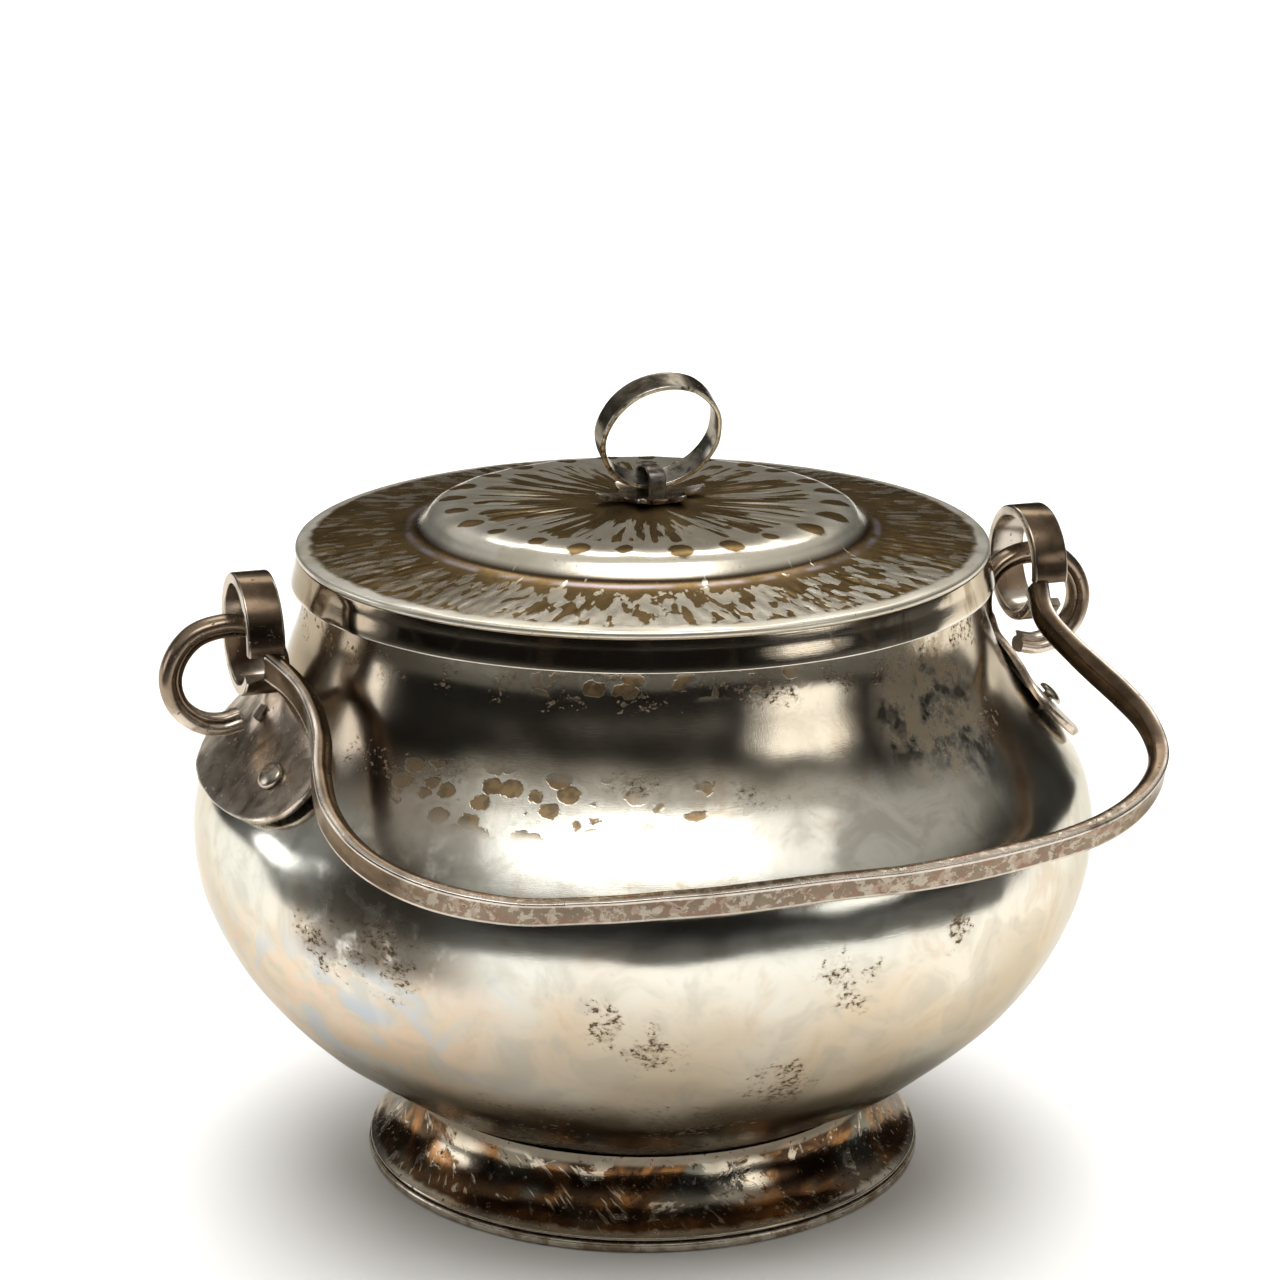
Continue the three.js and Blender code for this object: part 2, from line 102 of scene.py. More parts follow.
# ---- Curves and meshes ----
def smooth(points, count, closed=False):
    """A centripetal Catmull-Rom curve through the points, sampled at count + 1 even steps."""
    p = np.array(points, float)
    if closed:
        p = np.vstack([p[-1:], p, p[:2]])
    else:
        p = np.vstack([2 * p[:1] - p[1:2], p, 2 * p[-1:] - p[-2:-1]])
    t = np.linspace(0, 1, 40, endpoint=False)[:, None]
    fine = []
    for a, b, c, d in zip(p, p[1:], p[2:], p[3:]):
        ab, bc, cd = (math.sqrt(np.linalg.norm(v)) for v in (b - a, c - b, d - c))
        m1 = ((b - a) / ab - (c - a) / (ab + bc) + (c - b) / bc) * bc
        m2 = ((c - b) / bc - (d - b) / (bc + cd) + (d - c) / cd) * bc
        fine.append(b + m1 * t + (3 * (c - b) - 2 * m1 - m2) * t**2 + (2 * (b - c) + m1 + m2) * t**3)
    fine.append(p[-2:-1])
    return spaced(np.vstack(fine), count)


def spaced(line, count):
    """The polyline resampled at count + 1 even steps."""
    line = np.array(line, float)
    s = np.concatenate([[0], np.cumsum(np.linalg.norm(np.diff(line, axis=0), axis=1))])
    at = np.linspace(0, s[-1], count + 1)
    return np.stack([np.interp(at, s, line[:, k]) for k in range(line.shape[1])], 1)


def normals2(line):
    """Unit vectors to the left of a polyline in the plane."""
    d = np.gradient(line, axis=0)
    d /= np.linalg.norm(d, axis=1)[:, None]
    return np.stack([-d[:, 1], d[:, 0]], 1)


def corner(a, b, c, radius, steps=5):
    """Points of a rounded corner at b."""
    a, b, c = (np.array(q, float) for q in (a, b, c))
    p, q = b + radius * (a - b) / np.linalg.norm(a - b), b + radius * (c - b) / np.linalg.norm(c - b)
    t = np.linspace(0, 1, steps)[:, None]
    return (1 - t) ** 2 * p + 2 * t * (1 - t) * b + t**2 * q


def rounded(loop, radius, steps=5):
    """A closed loop of corners, rounded by one radius or by one each."""
    n = len(loop)
    radii = radius if hasattr(radius, "__len__") else [radius] * n
    return np.vstack([corner(loop[i - 1], loop[i], loop[(i + 1) % n], radii[i], steps) for i in range(n)])


def build(name, verts, faces, body, nodes, slot, material, sharp=38):
    """A mesh piece, in the row frame, from points in millimetres."""
    mesh = bpy.data.meshes.new(name)
    mesh.from_pydata((np.asarray(verts, float) * MM).tolist(), [], [list(map(int, f)) for f in faces])
    mesh.validate()
    mesh.update()
    mesh.calc_loop_triangles()
    co = np.array([v.co for v in mesh.vertices])
    tri = np.array([t.vertices for t in mesh.loop_triangles])
    volume = np.einsum("ij,ij->i", co[tri[:, 0]], np.cross(co[tri[:, 1]], co[tri[:, 2]])).sum()
    if volume < 0:
        mesh.flip_normals()
    mesh.shade_smooth()
    mesh.set_sharp_from_angle(angle=math.radians(sharp))
    piece = bpy.data.objects.new(name, mesh)
    bpy.context.scene.collection.objects.link(piece)
    mesh.materials.append(material)
    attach(piece, body)
    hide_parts(*nodes)
    return piece


def grid(n, m, closed):
    """Faces between n rings of m points, and from the last ring to the first if closed."""
    i, j = np.meshgrid(np.arange(n if closed else n - 1), np.arange(m), indexing="ij")
    k, l = (i + 1) % n, (j + 1) % m
    return np.stack([i * m + j, i * m + l, k * m + l, k * m + j], -1).reshape(-1, 4).tolist()


def lathe(profile, segments, relief=None):
    """Points and faces of a [radius, height] line turned about Z.

    A line that starts and ends on the axis gets poles there; any other is taken as a closed loop.
    """
    profile = np.array(profile, float)
    poles = profile[0, 0] < 1e-6
    body = profile[1:-1] if poles else profile
    theta = np.arange(segments) * TAU / segments
    normal = normals2(np.vstack([body[-1:], body, body[:1]]) if not poles else profile)[1:-1]
    r = np.repeat(body[:, :1], segments, 1)
    z = np.repeat(body[:, 1:], segments, 1)
    if relief is not None:
        lift = relief(r, z, np.repeat(theta[None], len(body), 0), np.arange(len(body))[:, None])
        r, z = r + lift * -normal[:, :1], z + lift * -normal[:, 1:]
    verts = np.stack([r * np.cos(theta), r * np.sin(theta), z], -1).reshape(-1, 3)
    n, m = len(body), segments
    faces = grid(n, m, not poles)
    if poles:
        low, high = len(verts), len(verts) + 1
        verts = np.vstack([verts, [[0, 0, profile[0, 1]], [0, 0, profile[-1, 1]]]])
        for j in range(m):
            faces.append([low, (j + 1) % m, j])
            faces.append([high, (n - 1) * m + j, (n - 1) * m + (j + 1) % m])
    return verts, faces


def skin(rings):
    """Points and faces over a row of equal rings of points, capped at both ends."""
    rings = np.array(rings, float)
    n, m = rings.shape[:2]
    faces = grid(n, m, False)
    verts = rings.reshape(-1, 3)
    for end, flip in ((0, False), (n - 1, True)):
        hub = len(verts)
        verts = np.vstack([verts, rings[end].mean(0)])
        for j in range(m):
            a, b = end * m + j, end * m + (j + 1) % m
            faces.append([hub, b, a] if flip else [hub, a, b])
    return verts, faces


def mark_edges(piece, values):
    """A 0 to 1 value per vertex, read by the material as wear along the edges; on the bail it is also a painted
    highlight.
    """
    layer = piece.data.attributes.new("edge", "FLOAT", "POINT")
    layer.data.foreach_set("value", np.asarray(values, np.float32))


def merged(*parts):
    """One mesh from several pairs of points and faces."""
    verts, faces = [], []
    for v, f in parts:
        start = sum(len(x) for x in verts)
        verts.append(np.asarray(v))
        faces += [[start + i for i in face] for face in f]
    return np.vstack(verts), faces


def waves(seed, low, high, count, flat=1.0):
    """A smooth random field of about unit height: plane waves between two wavelengths, in millimetres."""
    rng = np.random.default_rng(seed)
    way = rng.normal(size=(count, 3)) * [1, 1, flat]
    way = way / np.linalg.norm(way, axis=1)[:, None] * TAU / rng.uniform(low, high, count)[:, None]
    phase = rng.uniform(0, TAU, count)

    def field(x, y, z):
        total = sum(np.cos(w[0] * x + w[1] * y + w[2] * z + p) for w, p in zip(way, phase))
        return total * math.sqrt(2 / count)

    return field


def rays(seed, low, high, count, reach):
    """A random field of radial streaks: whole waves round the circle, slow along the radius."""
    rng = np.random.default_rng(seed)
    around, phase = rng.integers(low, high, count), rng.uniform(0, TAU, count)
    along = rng.uniform(-TAU / reach, TAU / reach, count)
    return lambda r, theta: sum(
        np.cos(m * theta + q * r + p) for m, q, p in zip(around, along, phase)
    ) * math.sqrt(2 / count)


def fade(x, low, high):
    """0 below low and 1 above high, smooth between."""
    t = np.clip((x - low) / (high - low), 0, 1)
    return t * t * (3 - 2 * t)


# ---- Material nodes ----
GRAZING_TINT = (0.66, 0.63, 0.57, 1.0)  # keeps the silver's edges from going white


class Value:
    """A node output that can be added, subtracted, multiplied and divided like a number."""

    def __init__(self, graph, socket):
        self.graph, self.socket = graph, socket

    def __add__(self, other):
        return self.graph.math("ADD", self, other)

    def __sub__(self, other):
        return self.graph.math("SUBTRACT", self, other)

    def __rsub__(self, other):
        return self.graph.math("SUBTRACT", other, self)

    def __mul__(self, other):
        return self.graph.math("MULTIPLY", self, other)

    def __truediv__(self, other):
        return self.graph.math("DIVIDE", self, other)

    __radd__, __rmul__ = __add__, __mul__


class Nodes:
    """The node tree of a material or a world."""

    def __init__(self, owner):
        owner.use_nodes = True
        self.tree = owner.node_tree
        self.tree.nodes.clear()

    def put(self, socket, value):
        value = getattr(value, "socket", value)
        if isinstance(value, bpy.types.NodeSocket):
            self.tree.links.new(value, socket)
        else:
            socket.default_value = value

    def node(self, kind, *inputs, **named):
        """A node with its first sockets in order, others by name, and its own properties in settings."""
        node = self.tree.nodes.new(kind)
        for key, value in named.pop("settings", {}).items():
            setattr(node, key, value)
        for socket, value in zip(node.inputs, inputs):
            self.put(socket, value)
        for key, value in named.items():
            self.put(node.inputs[key.replace("_", " ").title()], value)
        return node

    def math(self, operation, *values):
        return Value(self, self.node("ShaderNodeMath", *values, settings={"operation": operation}).outputs[0])

    def vector(self, operation, *values, **named):
        node = self.node("ShaderNodeVectorMath", *values, settings={"operation": operation}, **named)
        return Value(self, node.outputs[0])

    def distance(self, position, point):
        node = self.node("ShaderNodeVectorMath", position, point, settings={"operation": "DISTANCE"})
        return Value(self, node.outputs["Value"])

    def xyz(self, x, y, z):
        return Value(self, self.node("ShaderNodeCombineXYZ", x, y, z).outputs[0])

    def step(self, value, low, high):
        """0 below low and 1 above high, smooth between; falls where low is above high."""
        node = self.node("ShaderNodeMapRange", value, settings={"interpolation_type": "SMOOTHSTEP"})
        ends = (low, high, 0.0, 1.0) if low < high else (high, low, 1.0, 0.0)
        for socket, end in zip(node.inputs[1:], ends):
            socket.default_value = end
        return Value(self, node.outputs[0])

    def band(self, value, low, high, soft):
        """1 between low and high, with soft edges."""
        return self.step(value, low - soft, low + soft) * self.step(value, high + soft, high - soft)

    def most(self, *values):
        total = values[0]
        for value in values[1:]:
            total = self.math("MAXIMUM", total, value)
        return total

    def colour(self, factor, a, b):
        node = self.tree.nodes.new("ShaderNodeMix")
        node.data_type = "RGBA"
        for socket, value in ((node.inputs[0], factor), (node.inputs[6], a), (node.inputs[7], b)):
            self.put(socket, (*value, 1.0) if isinstance(value, tuple) else value)
        return Value(self, node.outputs[2])


class Graph(Nodes):
    """A silver material under construction. Positions are in millimetres, in the row frame."""

    def __init__(self, name):
        self.material = bpy.data.materials.new(name)
        super().__init__(self.material)
        out = self.tree.nodes.new("ShaderNodeOutputMaterial")
        self.shader = self.tree.nodes.new("ShaderNodeBsdfPrincipled")
        self.tree.links.new(self.shader.outputs[0], out.inputs[0])
        self.shader.inputs["Specular Tint"].default_value = GRAZING_TINT
        self.mm = self.vector("SCALE", self.node("ShaderNodeTexCoord").outputs["Object"], scale=1 / MM)
        parts = self.node("ShaderNodeSeparateXYZ", self.mm)
        self.x, self.y, self.z = (Value(self, parts.outputs[i]) for i in range(3))
        self.paint = None

    def moved(self, x, y, z):
        """The position moved aside, so that a noise read there differs from one read in place."""
        return self.vector("ADD", self.mm, (x, y, z))

    def scaled(self, x, y, z):
        return self.vector("MULTIPLY", self.mm, (x, y, z))

    def chance(self, index):
        """A random number from 0 to 1 for each whole index."""
        node = self.node("ShaderNodeTexWhiteNoise", settings={"noise_dimensions": "1D"}, w=index)
        return Value(self, node.outputs[0])

    def edge(self):
        """What mark_edges wrote on the mesh."""
        node = self.node("ShaderNodeAttribute", settings={"attribute_name": "edge"})
        return Value(self, node.outputs["Fac"])

    def noise(self, scale, detail=2.0, rough=0.5, bend=0.0, at=None):
        node = self.node("ShaderNodeTexNoise", at or self.mm, scale=scale, detail=detail, roughness=rough,
                         distortion=bend)
        return Value(self, node.outputs[0])

    def cells(self, scale, at):
        """The distance to the nearest of a scatter of points."""
        return Value(self, self.node("ShaderNodeTexVoronoi", at, scale=scale).outputs["Distance"])

    def patch(self, scale, detail, low, high):
        """Patches of a noise: 0 where it is below low and 1 where it is above high."""
        return self.step(self.noise(scale, detail), low, high)

    def tint(self, factor, other):
        """The base colour so far, with another over it."""
        self.paint = self.colour(factor, self.paint, other)

    def finish(self, roughness, height, metal=1.0):
        """height is in millimetres. metal is 1 on bare silver and lower under a film of tarnish."""
        self.put(self.shader.inputs["Base Color"], self.paint)
        self.put(self.shader.inputs["Roughness"], roughness)
        self.put(self.shader.inputs["Metallic"], metal)
        bump = self.node("ShaderNodeBump", strength=1.0, distance=MM, height=height)
        self.tree.links.new(bump.outputs[0], self.shader.inputs["Normal"])
        return self.material

    def polar(self):
        """Radius and angle about Z, and the unit circle's two coordinates."""
        r = self.math("SQRT", self.x * self.x + self.y * self.y)
        theta = self.math("ARCTAN2", self.y, self.x)
        return r, theta, self.math("COSINE", theta), self.math("SINE", theta)


SILVER = (0.73, 0.695, 0.61)
PAINTED_CREAM_REFLECTION = (0.62, 0.51, 0.37)
RUBBED_AND_HIGHLIGHT = (0.80, 0.76, 0.68)
BROWN = (0.120, 0.072, 0.026)
BROWN_DARK = (0.13, 0.085, 0.045)
SOOT = (0.05, 0.038, 0.026)
PIT_CLUSTERS = [  # on the bowl: degrees round from +X, height and radius in millimetres
    (-84.5, 43.5, 5.0), (-91.0, 28.5, 6.0), (-114.0, 40.0, 4.0), (-108.0, 36.0, 4.5), (-141.0, 47.5, 8.5),
    (-150.0, 46.0, 6.0), (-99.0, 22.0, 5.0), (-70.0, 47.0, 3.0), (35.0, 42.0, 6.0), (78.0, 33.0, 7.0),
    (112.0, 49.0, 6.0), (150.0, 30.0, 5.0),
]
WALL_RADIUS = 58.0  # about the bowl's radius at the clusters


def scratches(g, strength=1.0):
    """Fine polishing lines in two directions, as a height in millimetres."""
    a = g.noise(1.0, 1.0, 0.6, 0.3, at=g.scaled(0.5, 0.5, 9.0))
    b = g.noise(1.0, 1.0, 0.6, 0.3, at=g.scaled(5.0, 5.0, 0.6))
    return (a + b) * (0.006 * strength)


def ragged(g, value, scale, detail, reach):
    """The value pushed up and down by a noise, so that a step of it has an uneven edge."""
    return value + (g.noise(scale, detail) - 0.5) * reach


def beside_ears(g, low, high):
    """Tarnish towards the ears, where cloth does not reach."""
    return g.step(ragged(g, g.math("ABSOLUTE", g.x), 0.15, 3.0, 9.0), low, high)


def bowl_material():
    g = Graph("hammered_silver_bowl")
    _, theta, cos, sin = g.polar()
    degrees = theta * (360 / TAU)
    # Slow drifts of tint: a cream low on the belly, which is a painted reflection of a cream floor, a blue and
    # rose bloom on the left, grey-green above.
    belly = g.step(g.z, 52.0, 38.0)
    g.paint = g.colour(g.patch(0.035, 2.0, 0.35, 0.65), SILVER, (0.66, 0.66, 0.60))
    # painted reflection: the floor's cream tinted into the lower belly
    g.tint(belly * g.step(g.noise(0.05, 2.0, bend=0.6), 0.15, 0.62), PAINTED_CREAM_REFLECTION)
    cloud = g.noise(0.13, 4.0, 0.62, 0.7, at=g.moved(11.0, 3.0, 60.0))
    g.tint(g.step(cloud, 0.47, 0.66) * 0.50, (0.43, 0.41, 0.34))
    g.tint(g.step(cloud, 0.45, 0.30) * 0.50, (0.52, 0.41, 0.29))
    left = g.step(g.x, -18.0, -52.0) * belly
    bloom = g.noise(0.11, 3.0, 0.55, 0.8, at=g.moved(31.0, 7.0, 5.0))
    g.tint(left * g.step(bloom, 0.46, 0.64) * 0.75, (0.46, 0.52, 0.60))
    g.tint(left * g.band(bloom, 0.37, 0.46, 0.06) * 0.5, (0.72, 0.50, 0.38))
    # The neck is warmer than the belly, most of all in a mottled patch on its right.
    g.tint(g.step(g.z, 62.0, 70.0) * 0.45, (0.62, 0.50, 0.34))
    mottle = g.step(g.distance(g.mm, (25.0, -40.0, 71.0)), 13.0, 7.0)
    mottle = mottle * g.step(g.noise(0.30, 4.0, 0.65), 0.36, 0.60)
    g.tint(mottle * 0.8, (0.36, 0.27, 0.16))
    # Brown ovals, ringed with bright metal, in a broken row along the shoulder and a few under the lid.
    cell_edge = (g.noise(0.9, 3.0, 0.6) - 0.5) * 0.40
    cell = g.cells(0.35, g.scaled(0.85, 0.85, 1.25)) + cell_edge
    row = g.band(ragged(g, g.z, 0.12, 1.0, 4.0), 61.8, 67.4, 0.9)
    dense = g.band(degrees, -147.0, -110.0, 3.0)
    sparse = g.band(degrees, -110.0, -97.0, 5.0) * g.patch(0.35, 2.0, 0.50, 0.58)
    under_lid = g.band(g.z, 76.4, 79.4, 0.5) * g.band(degrees, -126.0, -84.0, 4.0)
    under_lid = under_lid * g.patch(0.28, 2.0, 0.43, 0.50)
    row = g.most(row * g.most(dense, sparse), under_lid)
    islands = g.step(cell, 0.49, 0.43) * row
    g.tint(row * g.band(cell, 0.50, 0.66, 0.04) * 0.5, (0.80, 0.78, 0.70))
    island_colour = g.colour(g.patch(0.8, 3.0, 0.38, 0.60), BROWN, (0.25, 0.155, 0.058))
    g.tint(islands * 0.9, island_colour)
    # Specks under the lid, on the shoulder and low on the belly.
    speck = g.noise(1.15, 5.0, 0.70, at=g.scaled(1.0, 1.0, 1.4))
    grain = g.noise(2.6, 3.0, 0.6)
    under = g.band(g.z, 74.5, 79.5, 1.8) * g.patch(0.2, 1.0, 0.44, 0.56)
    shoulder = g.band(g.z, 64.0, 68.5, 1.8) * g.patch(0.13, 1.0, 0.45, 0.60)
    low = g.band(g.z, 15.0, 27.0, 4.0) * g.patch(0.09, 2.0, 0.40, 0.56)
    stray = (g.noise(0.24, 3.0, 0.65) - 0.5) * 0.30
    on_wall = g.xyz(cos, sin, g.z / WALL_RADIUS)
    spots = []  # dense specks in clusters
    for angle, height, size in PIT_CLUSTERS:
        middle = (math.cos(math.radians(angle)), math.sin(math.radians(angle)), height / WALL_RADIUS)
        spots.append(g.step(g.distance(on_wall, middle) + stray,
                            size * 1.25 / WALL_RADIUS, size * 0.1 / WALL_RADIUS))
    where = g.most(under * 0.9, shoulder * 0.8, low * 0.75, *spots)
    limit = 0.77 - where * 0.225
    pits = g.step(speck - limit, -0.01, 0.045) * g.step(where, 0.05, 0.3)
    pits = pits * g.step(grain, 0.30, 0.44)
    veil = g.step(speck - limit, -0.16, 0.03) * where * 0.85
    g.tint(veil, (0.27, 0.20, 0.125))
    g.tint(pits * 0.9, g.colour(g.step(grain, 0.42, 0.56), SOOT, BROWN_DARK))
    # Grime where the foot is soldered on, an underside darkened by dirt and painted shade, and a smoky patch at
    # the left front.
    grime = g.step(g.z, 18.5, 13.0) * g.patch(0.25, 3.0, 0.25, 0.6)
    underside_dirt_and_shade = g.step(ragged(g, g.z, 0.10, 2.0, 6.0), 28.0, 22.0)
    # dirt and painted shade: darker below about 25 mm, where the belly reflects the shadowed floor by the foot
    g.tint(underside_dirt_and_shade * 0.88, (0.135, 0.105, 0.070))
    smoky = g.step(g.distance(g.mm, (-46.0, -37.0, 49.0)), 19.0, 5.0)
    smoky = smoky * g.step(g.noise(0.20, 3.0, 0.6), 0.24, 0.48) * g.step(g.z, 41.0, 45.5)
    g.tint(g.most(grime * 0.7, smoky * 0.88), (0.075, 0.056, 0.036))
    beside = beside_ears(g, 33.0, 43.0) * g.step(g.z, 57.0, 64.0)
    g.tint(beside * 0.75, (0.25, 0.19, 0.13))
    # A grey film with a sharp edge on the right of the belly.
    film = g.step(ragged(g, g.distance(g.mm, (31.0, -50.0, 37.0)), 0.12, 2.0, 16.0), 10.5, 9.6)
    g.tint(film * 0.30, (0.42, 0.38, 0.30))
    rough = 0.11 + g.noise(0.09, 3.0) * 0.13 + pits * 0.35 + islands * 0.22 + grime * 0.15 + smoky * 0.12
    height = scratches(g, 0.5) - pits * 0.05 - islands * 0.02 + g.noise(0.42, 2.0) * 0.010
    dirt = g.most(islands * 0.15, pits * 0.15, smoky * 0.15, grime * 0.2, mottle * 0.4)
    return g.finish(rough + belly * 0.03, height, 1.0 - dirt)


def lid_material():
    g = Graph("hammered_silver_lid")
    r, theta, cos, sin = g.polar()
    # Boss: long radial streaks of bare metal, then a ring of oval brown spots just inside its edge.
    streak = g.noise(1.0, 2.0, 0.5, 0.35, at=g.xyz(cos * 9.5, sin * 9.5, r * 0.085))
    fine = g.noise(1.0, 2.0, 0.5, 0.2, at=g.xyz(cos * 26.0, sin * 26.0, r * 0.12))
    bare_at = g.step(r, 6.0, 17.0) * 0.16 + g.step(r, 21.0, 24.5) * 0.35
    boss = g.step(streak * 0.7 + fine * 0.3 + bare_at, 0.625, 0.655)
    turn = theta * (SPOTS / TAU)
    index = g.math("FLOOR", turn)
    sideways, outwards = g.chance(index), g.chance(index + 61.7)
    across = (turn - index - 0.5 + (sideways - 0.5) * 0.28) * (TAU / SPOTS * SPOT_CIRCLE)
    along = r - SPOT_MIDDLE - (outwards - 0.5) * 1.2
    size = 0.80 + outwards * 0.50
    wobble = (g.noise(0.8, 2.0) - 0.5) * 0.55
    off = g.math("SQRT", across * across / 1.9 + along * along / 3.3) + wobble
    spot = g.step(off / size, 1.0, 0.84)
    rim_of_spot = g.band(off / size, 0.84, 1.02, 0.05)
    on_boss = g.step(r, 29.6, 28.6)
    boss = g.math("MULTIPLY", g.most(boss, g.step(r + (streak - 0.5) * 5.0, 21.4, 22.8)), 1.0 - spot)
    # Flange: short radial flecks, closer together towards the rim, and a burnished edge.
    dash = g.noise(1.0, 2.5, 0.55, 0.3, at=g.xyz(cos * 21.0, sin * 21.0, r * 0.24))
    dense = g.step(r, 32.0, 42.0) * 0.06 - g.step(r, 33.5, 30.5) * 0.14
    patch = (g.noise(0.045, 1.0) - 0.5) * 0.22
    # painted highlight: the flange's front gets more bare metal than its sides, and brighter metal
    front = g.step(sin, -0.45, -0.95)
    flange = g.step(dash + dense + patch + front * 0.07, 0.56, 0.60) * (front * 0.60 + 0.30)
    edge = g.step(ragged(g, r, 0.35, 3.0, 1.6), 43.1, 44.1)
    bare_and_highlit = g.math("MULTIPLY", boss, on_boss) + g.math("MULTIPLY", flange, 1.0 - on_boss)
    bare_and_highlit = g.most(bare_and_highlit, edge)
    # The brown ground: darker in the middle, with painted shade in the valley round the boss, where a pink line
    # runs.
    base = g.colour(g.step(g.noise(0.14, 3.0, 0.6), 0.35, 0.65), (0.145, 0.090, 0.034), (0.215, 0.140, 0.058))
    base = g.colour(g.step(g.noise(1.3, 4.0, 0.65), 0.50, 0.72) * 0.5, base, (0.065, 0.042, 0.022))
    base = g.colour(g.step(r, 9.5, 4.0) * 0.5, base, (0.07, 0.045, 0.028))
    # painted shade: a dark line in the valley at the foot of the boss
    base = g.colour(g.band(r, 28.9, 29.9, 0.3) * 0.8, base, (0.045, 0.03, 0.022))
    pink = g.band(r, 30.4, 31.2, 0.35) * g.patch(0.16, 2.0, 0.40, 0.60)
    base = g.colour(pink * 0.65, base, (0.46, 0.41, 0.46))
    # The bare metal: brighter on the flange's front, which is a painted highlight, and duller on top of the
    # boss.
    metal = g.colour(g.patch(0.2, 2.0, 0.4, 0.65), SILVER, (0.62, 0.58, 0.47))
    metal = g.colour(front * 0.7, metal, (0.80, 0.73, 0.60))
    metal = g.colour(g.step(r, 26.5, 23.0) * 0.55, metal, (0.47, 0.41, 0.30))
    metal = g.colour(rim_of_spot * on_boss * 0.5, metal, (0.42, 0.38, 0.32))
    g.paint = g.colour(bare_and_highlit, base, metal)
    specks = g.step(g.noise(1.9, 3.0, 0.6), 0.66, 0.72)
    g.tint(specks * 0.6, SOOT)
    rough = 0.24 - bare_and_highlit * 0.08 + edge * 0.12 + g.noise(0.3, 3.0) * 0.08
    height = bare_and_highlit * 0.014 + scratches(g, 0.6) + g.noise(0.9, 3.0, 0.6) * 0.014
    return g.finish(rough, height, 0.93 - bare_and_highlit * 0.11 - specks * 0.3)


def skirt_material():
    g = Graph("polished_silver_skirt")
    _, _, cos, sin = g.polar()
    g.paint = g.colour(g.patch(0.06, 2.0, 0.4, 0.62), (0.66, 0.58, 0.46), (0.56, 0.46, 0.33))
    stain = g.noise(1.0, 3.0, 0.6, 0.6, at=g.xyz(cos * 7.0, sin * 7.0, g.z * 0.08))
    stained = g.step(stain, 0.54, 0.64)
    g.tint(stained * 0.75, (0.33, 0.24, 0.15))
    g.tint(beside_ears(g, 31.0, 40.0) * 0.8, (0.19, 0.145, 0.10))
    # painted highlight: a bright band along the skirt's lower edge
    g.tint(g.step(g.z, 80.6, 80.15) * 0.8, RUBBED_AND_HIGHLIGHT)
    rough = 0.06 + g.noise(0.2, 3.0) * 0.10 + stained * 0.1
    return g.finish(rough, scratches(g, 0.6) + g.noise(0.3, 1.0) * 0.02)


def foot_material():
    g = Graph("tarnished_silver_foot")
    r, theta, cos, sin = g.polar()
    film = g.noise(0.16, 4.0, 0.6, 0.8)
    g.paint = g.colour(g.step(film, 0.44, 0.66), (0.060, 0.034, 0.018), (0.32, 0.15, 0.050))
    grey = g.step(g.noise(0.12, 2.0, at=g.moved(9.0, 4.0, 20.0)), 0.50, 0.62)
    g.tint(grey * 0.8, (0.15, 0.155, 0.125))
    g.tint(g.step(g.z, 6.0, 2.4) * 0.55, (0.12, 0.060, 0.028))
    degrees = theta * (360 / TAU)
    # Rubbed patches of bare metal, three of them set where the foot shows highlights and so partly painted
    # highlight, and short slanting file marks.
    rub = g.noise(0.28, 4.0, 0.62, 0.5, at=g.moved(40.0, 2.0, 7.0))
    slant = g.noise(1.0, 1.5, 0.5, 0.2, at=g.xyz(cos * 42.0 + g.z * 1.1, sin * 42.0 - g.z * 0.9, g.z * 0.35))
    # wear and painted highlight: three patches of bare metal where the foot's highlights fall
    wear_and_highlight = g.most(g.band(degrees, -163.0, -150.0, 4.0) * g.band(g.z, 6.0, 10.0, 1.0),
                  g.band(degrees, -93.0, -80.0, 4.0) * g.band(g.z, 5.0, 10.0, 1.2),
                  g.band(degrees, 20.0, 36.0, 5.0) * g.band(g.z, 5.5, 10.0, 1.0))
    bare_and_highlit = g.most(g.step(rub, 0.59, 0.64) * 0.7, wear_and_highlight * g.step(rub, 0.38, 0.46))
    marks = g.step(slant, 0.60, 0.65) * g.patch(0.14, 1.0, 0.44, 0.56)
    top = g.step(g.z, 9.3, 9.9)
    bare_and_highlit = g.most(bare_and_highlit, marks * 0.6, top * 0.6)
    g.tint(bare_and_highlit, (0.66, 0.58, 0.45))
    # wear and painted highlight: a lighter line along the bottom rim
    edge = g.step(ragged(g, r, 0.5, 2.0, 1.0), 36.2, 36.8)
    g.tint(edge * 0.75, (0.62, 0.56, 0.46))
    pits = g.step(g.noise(1.1, 4.0, 0.6), 0.62, 0.68)
    g.tint(pits * 0.8, SOOT)
    rough = 0.09 + g.noise(0.3, 3.0) * 0.10 + pits * 0.25
    height = scratches(g, 0.8) + bare_and_highlit * 0.012 - pits * 0.03 - marks * 0.012
    return g.finish(rough, height, 0.9 - pits * 0.4)


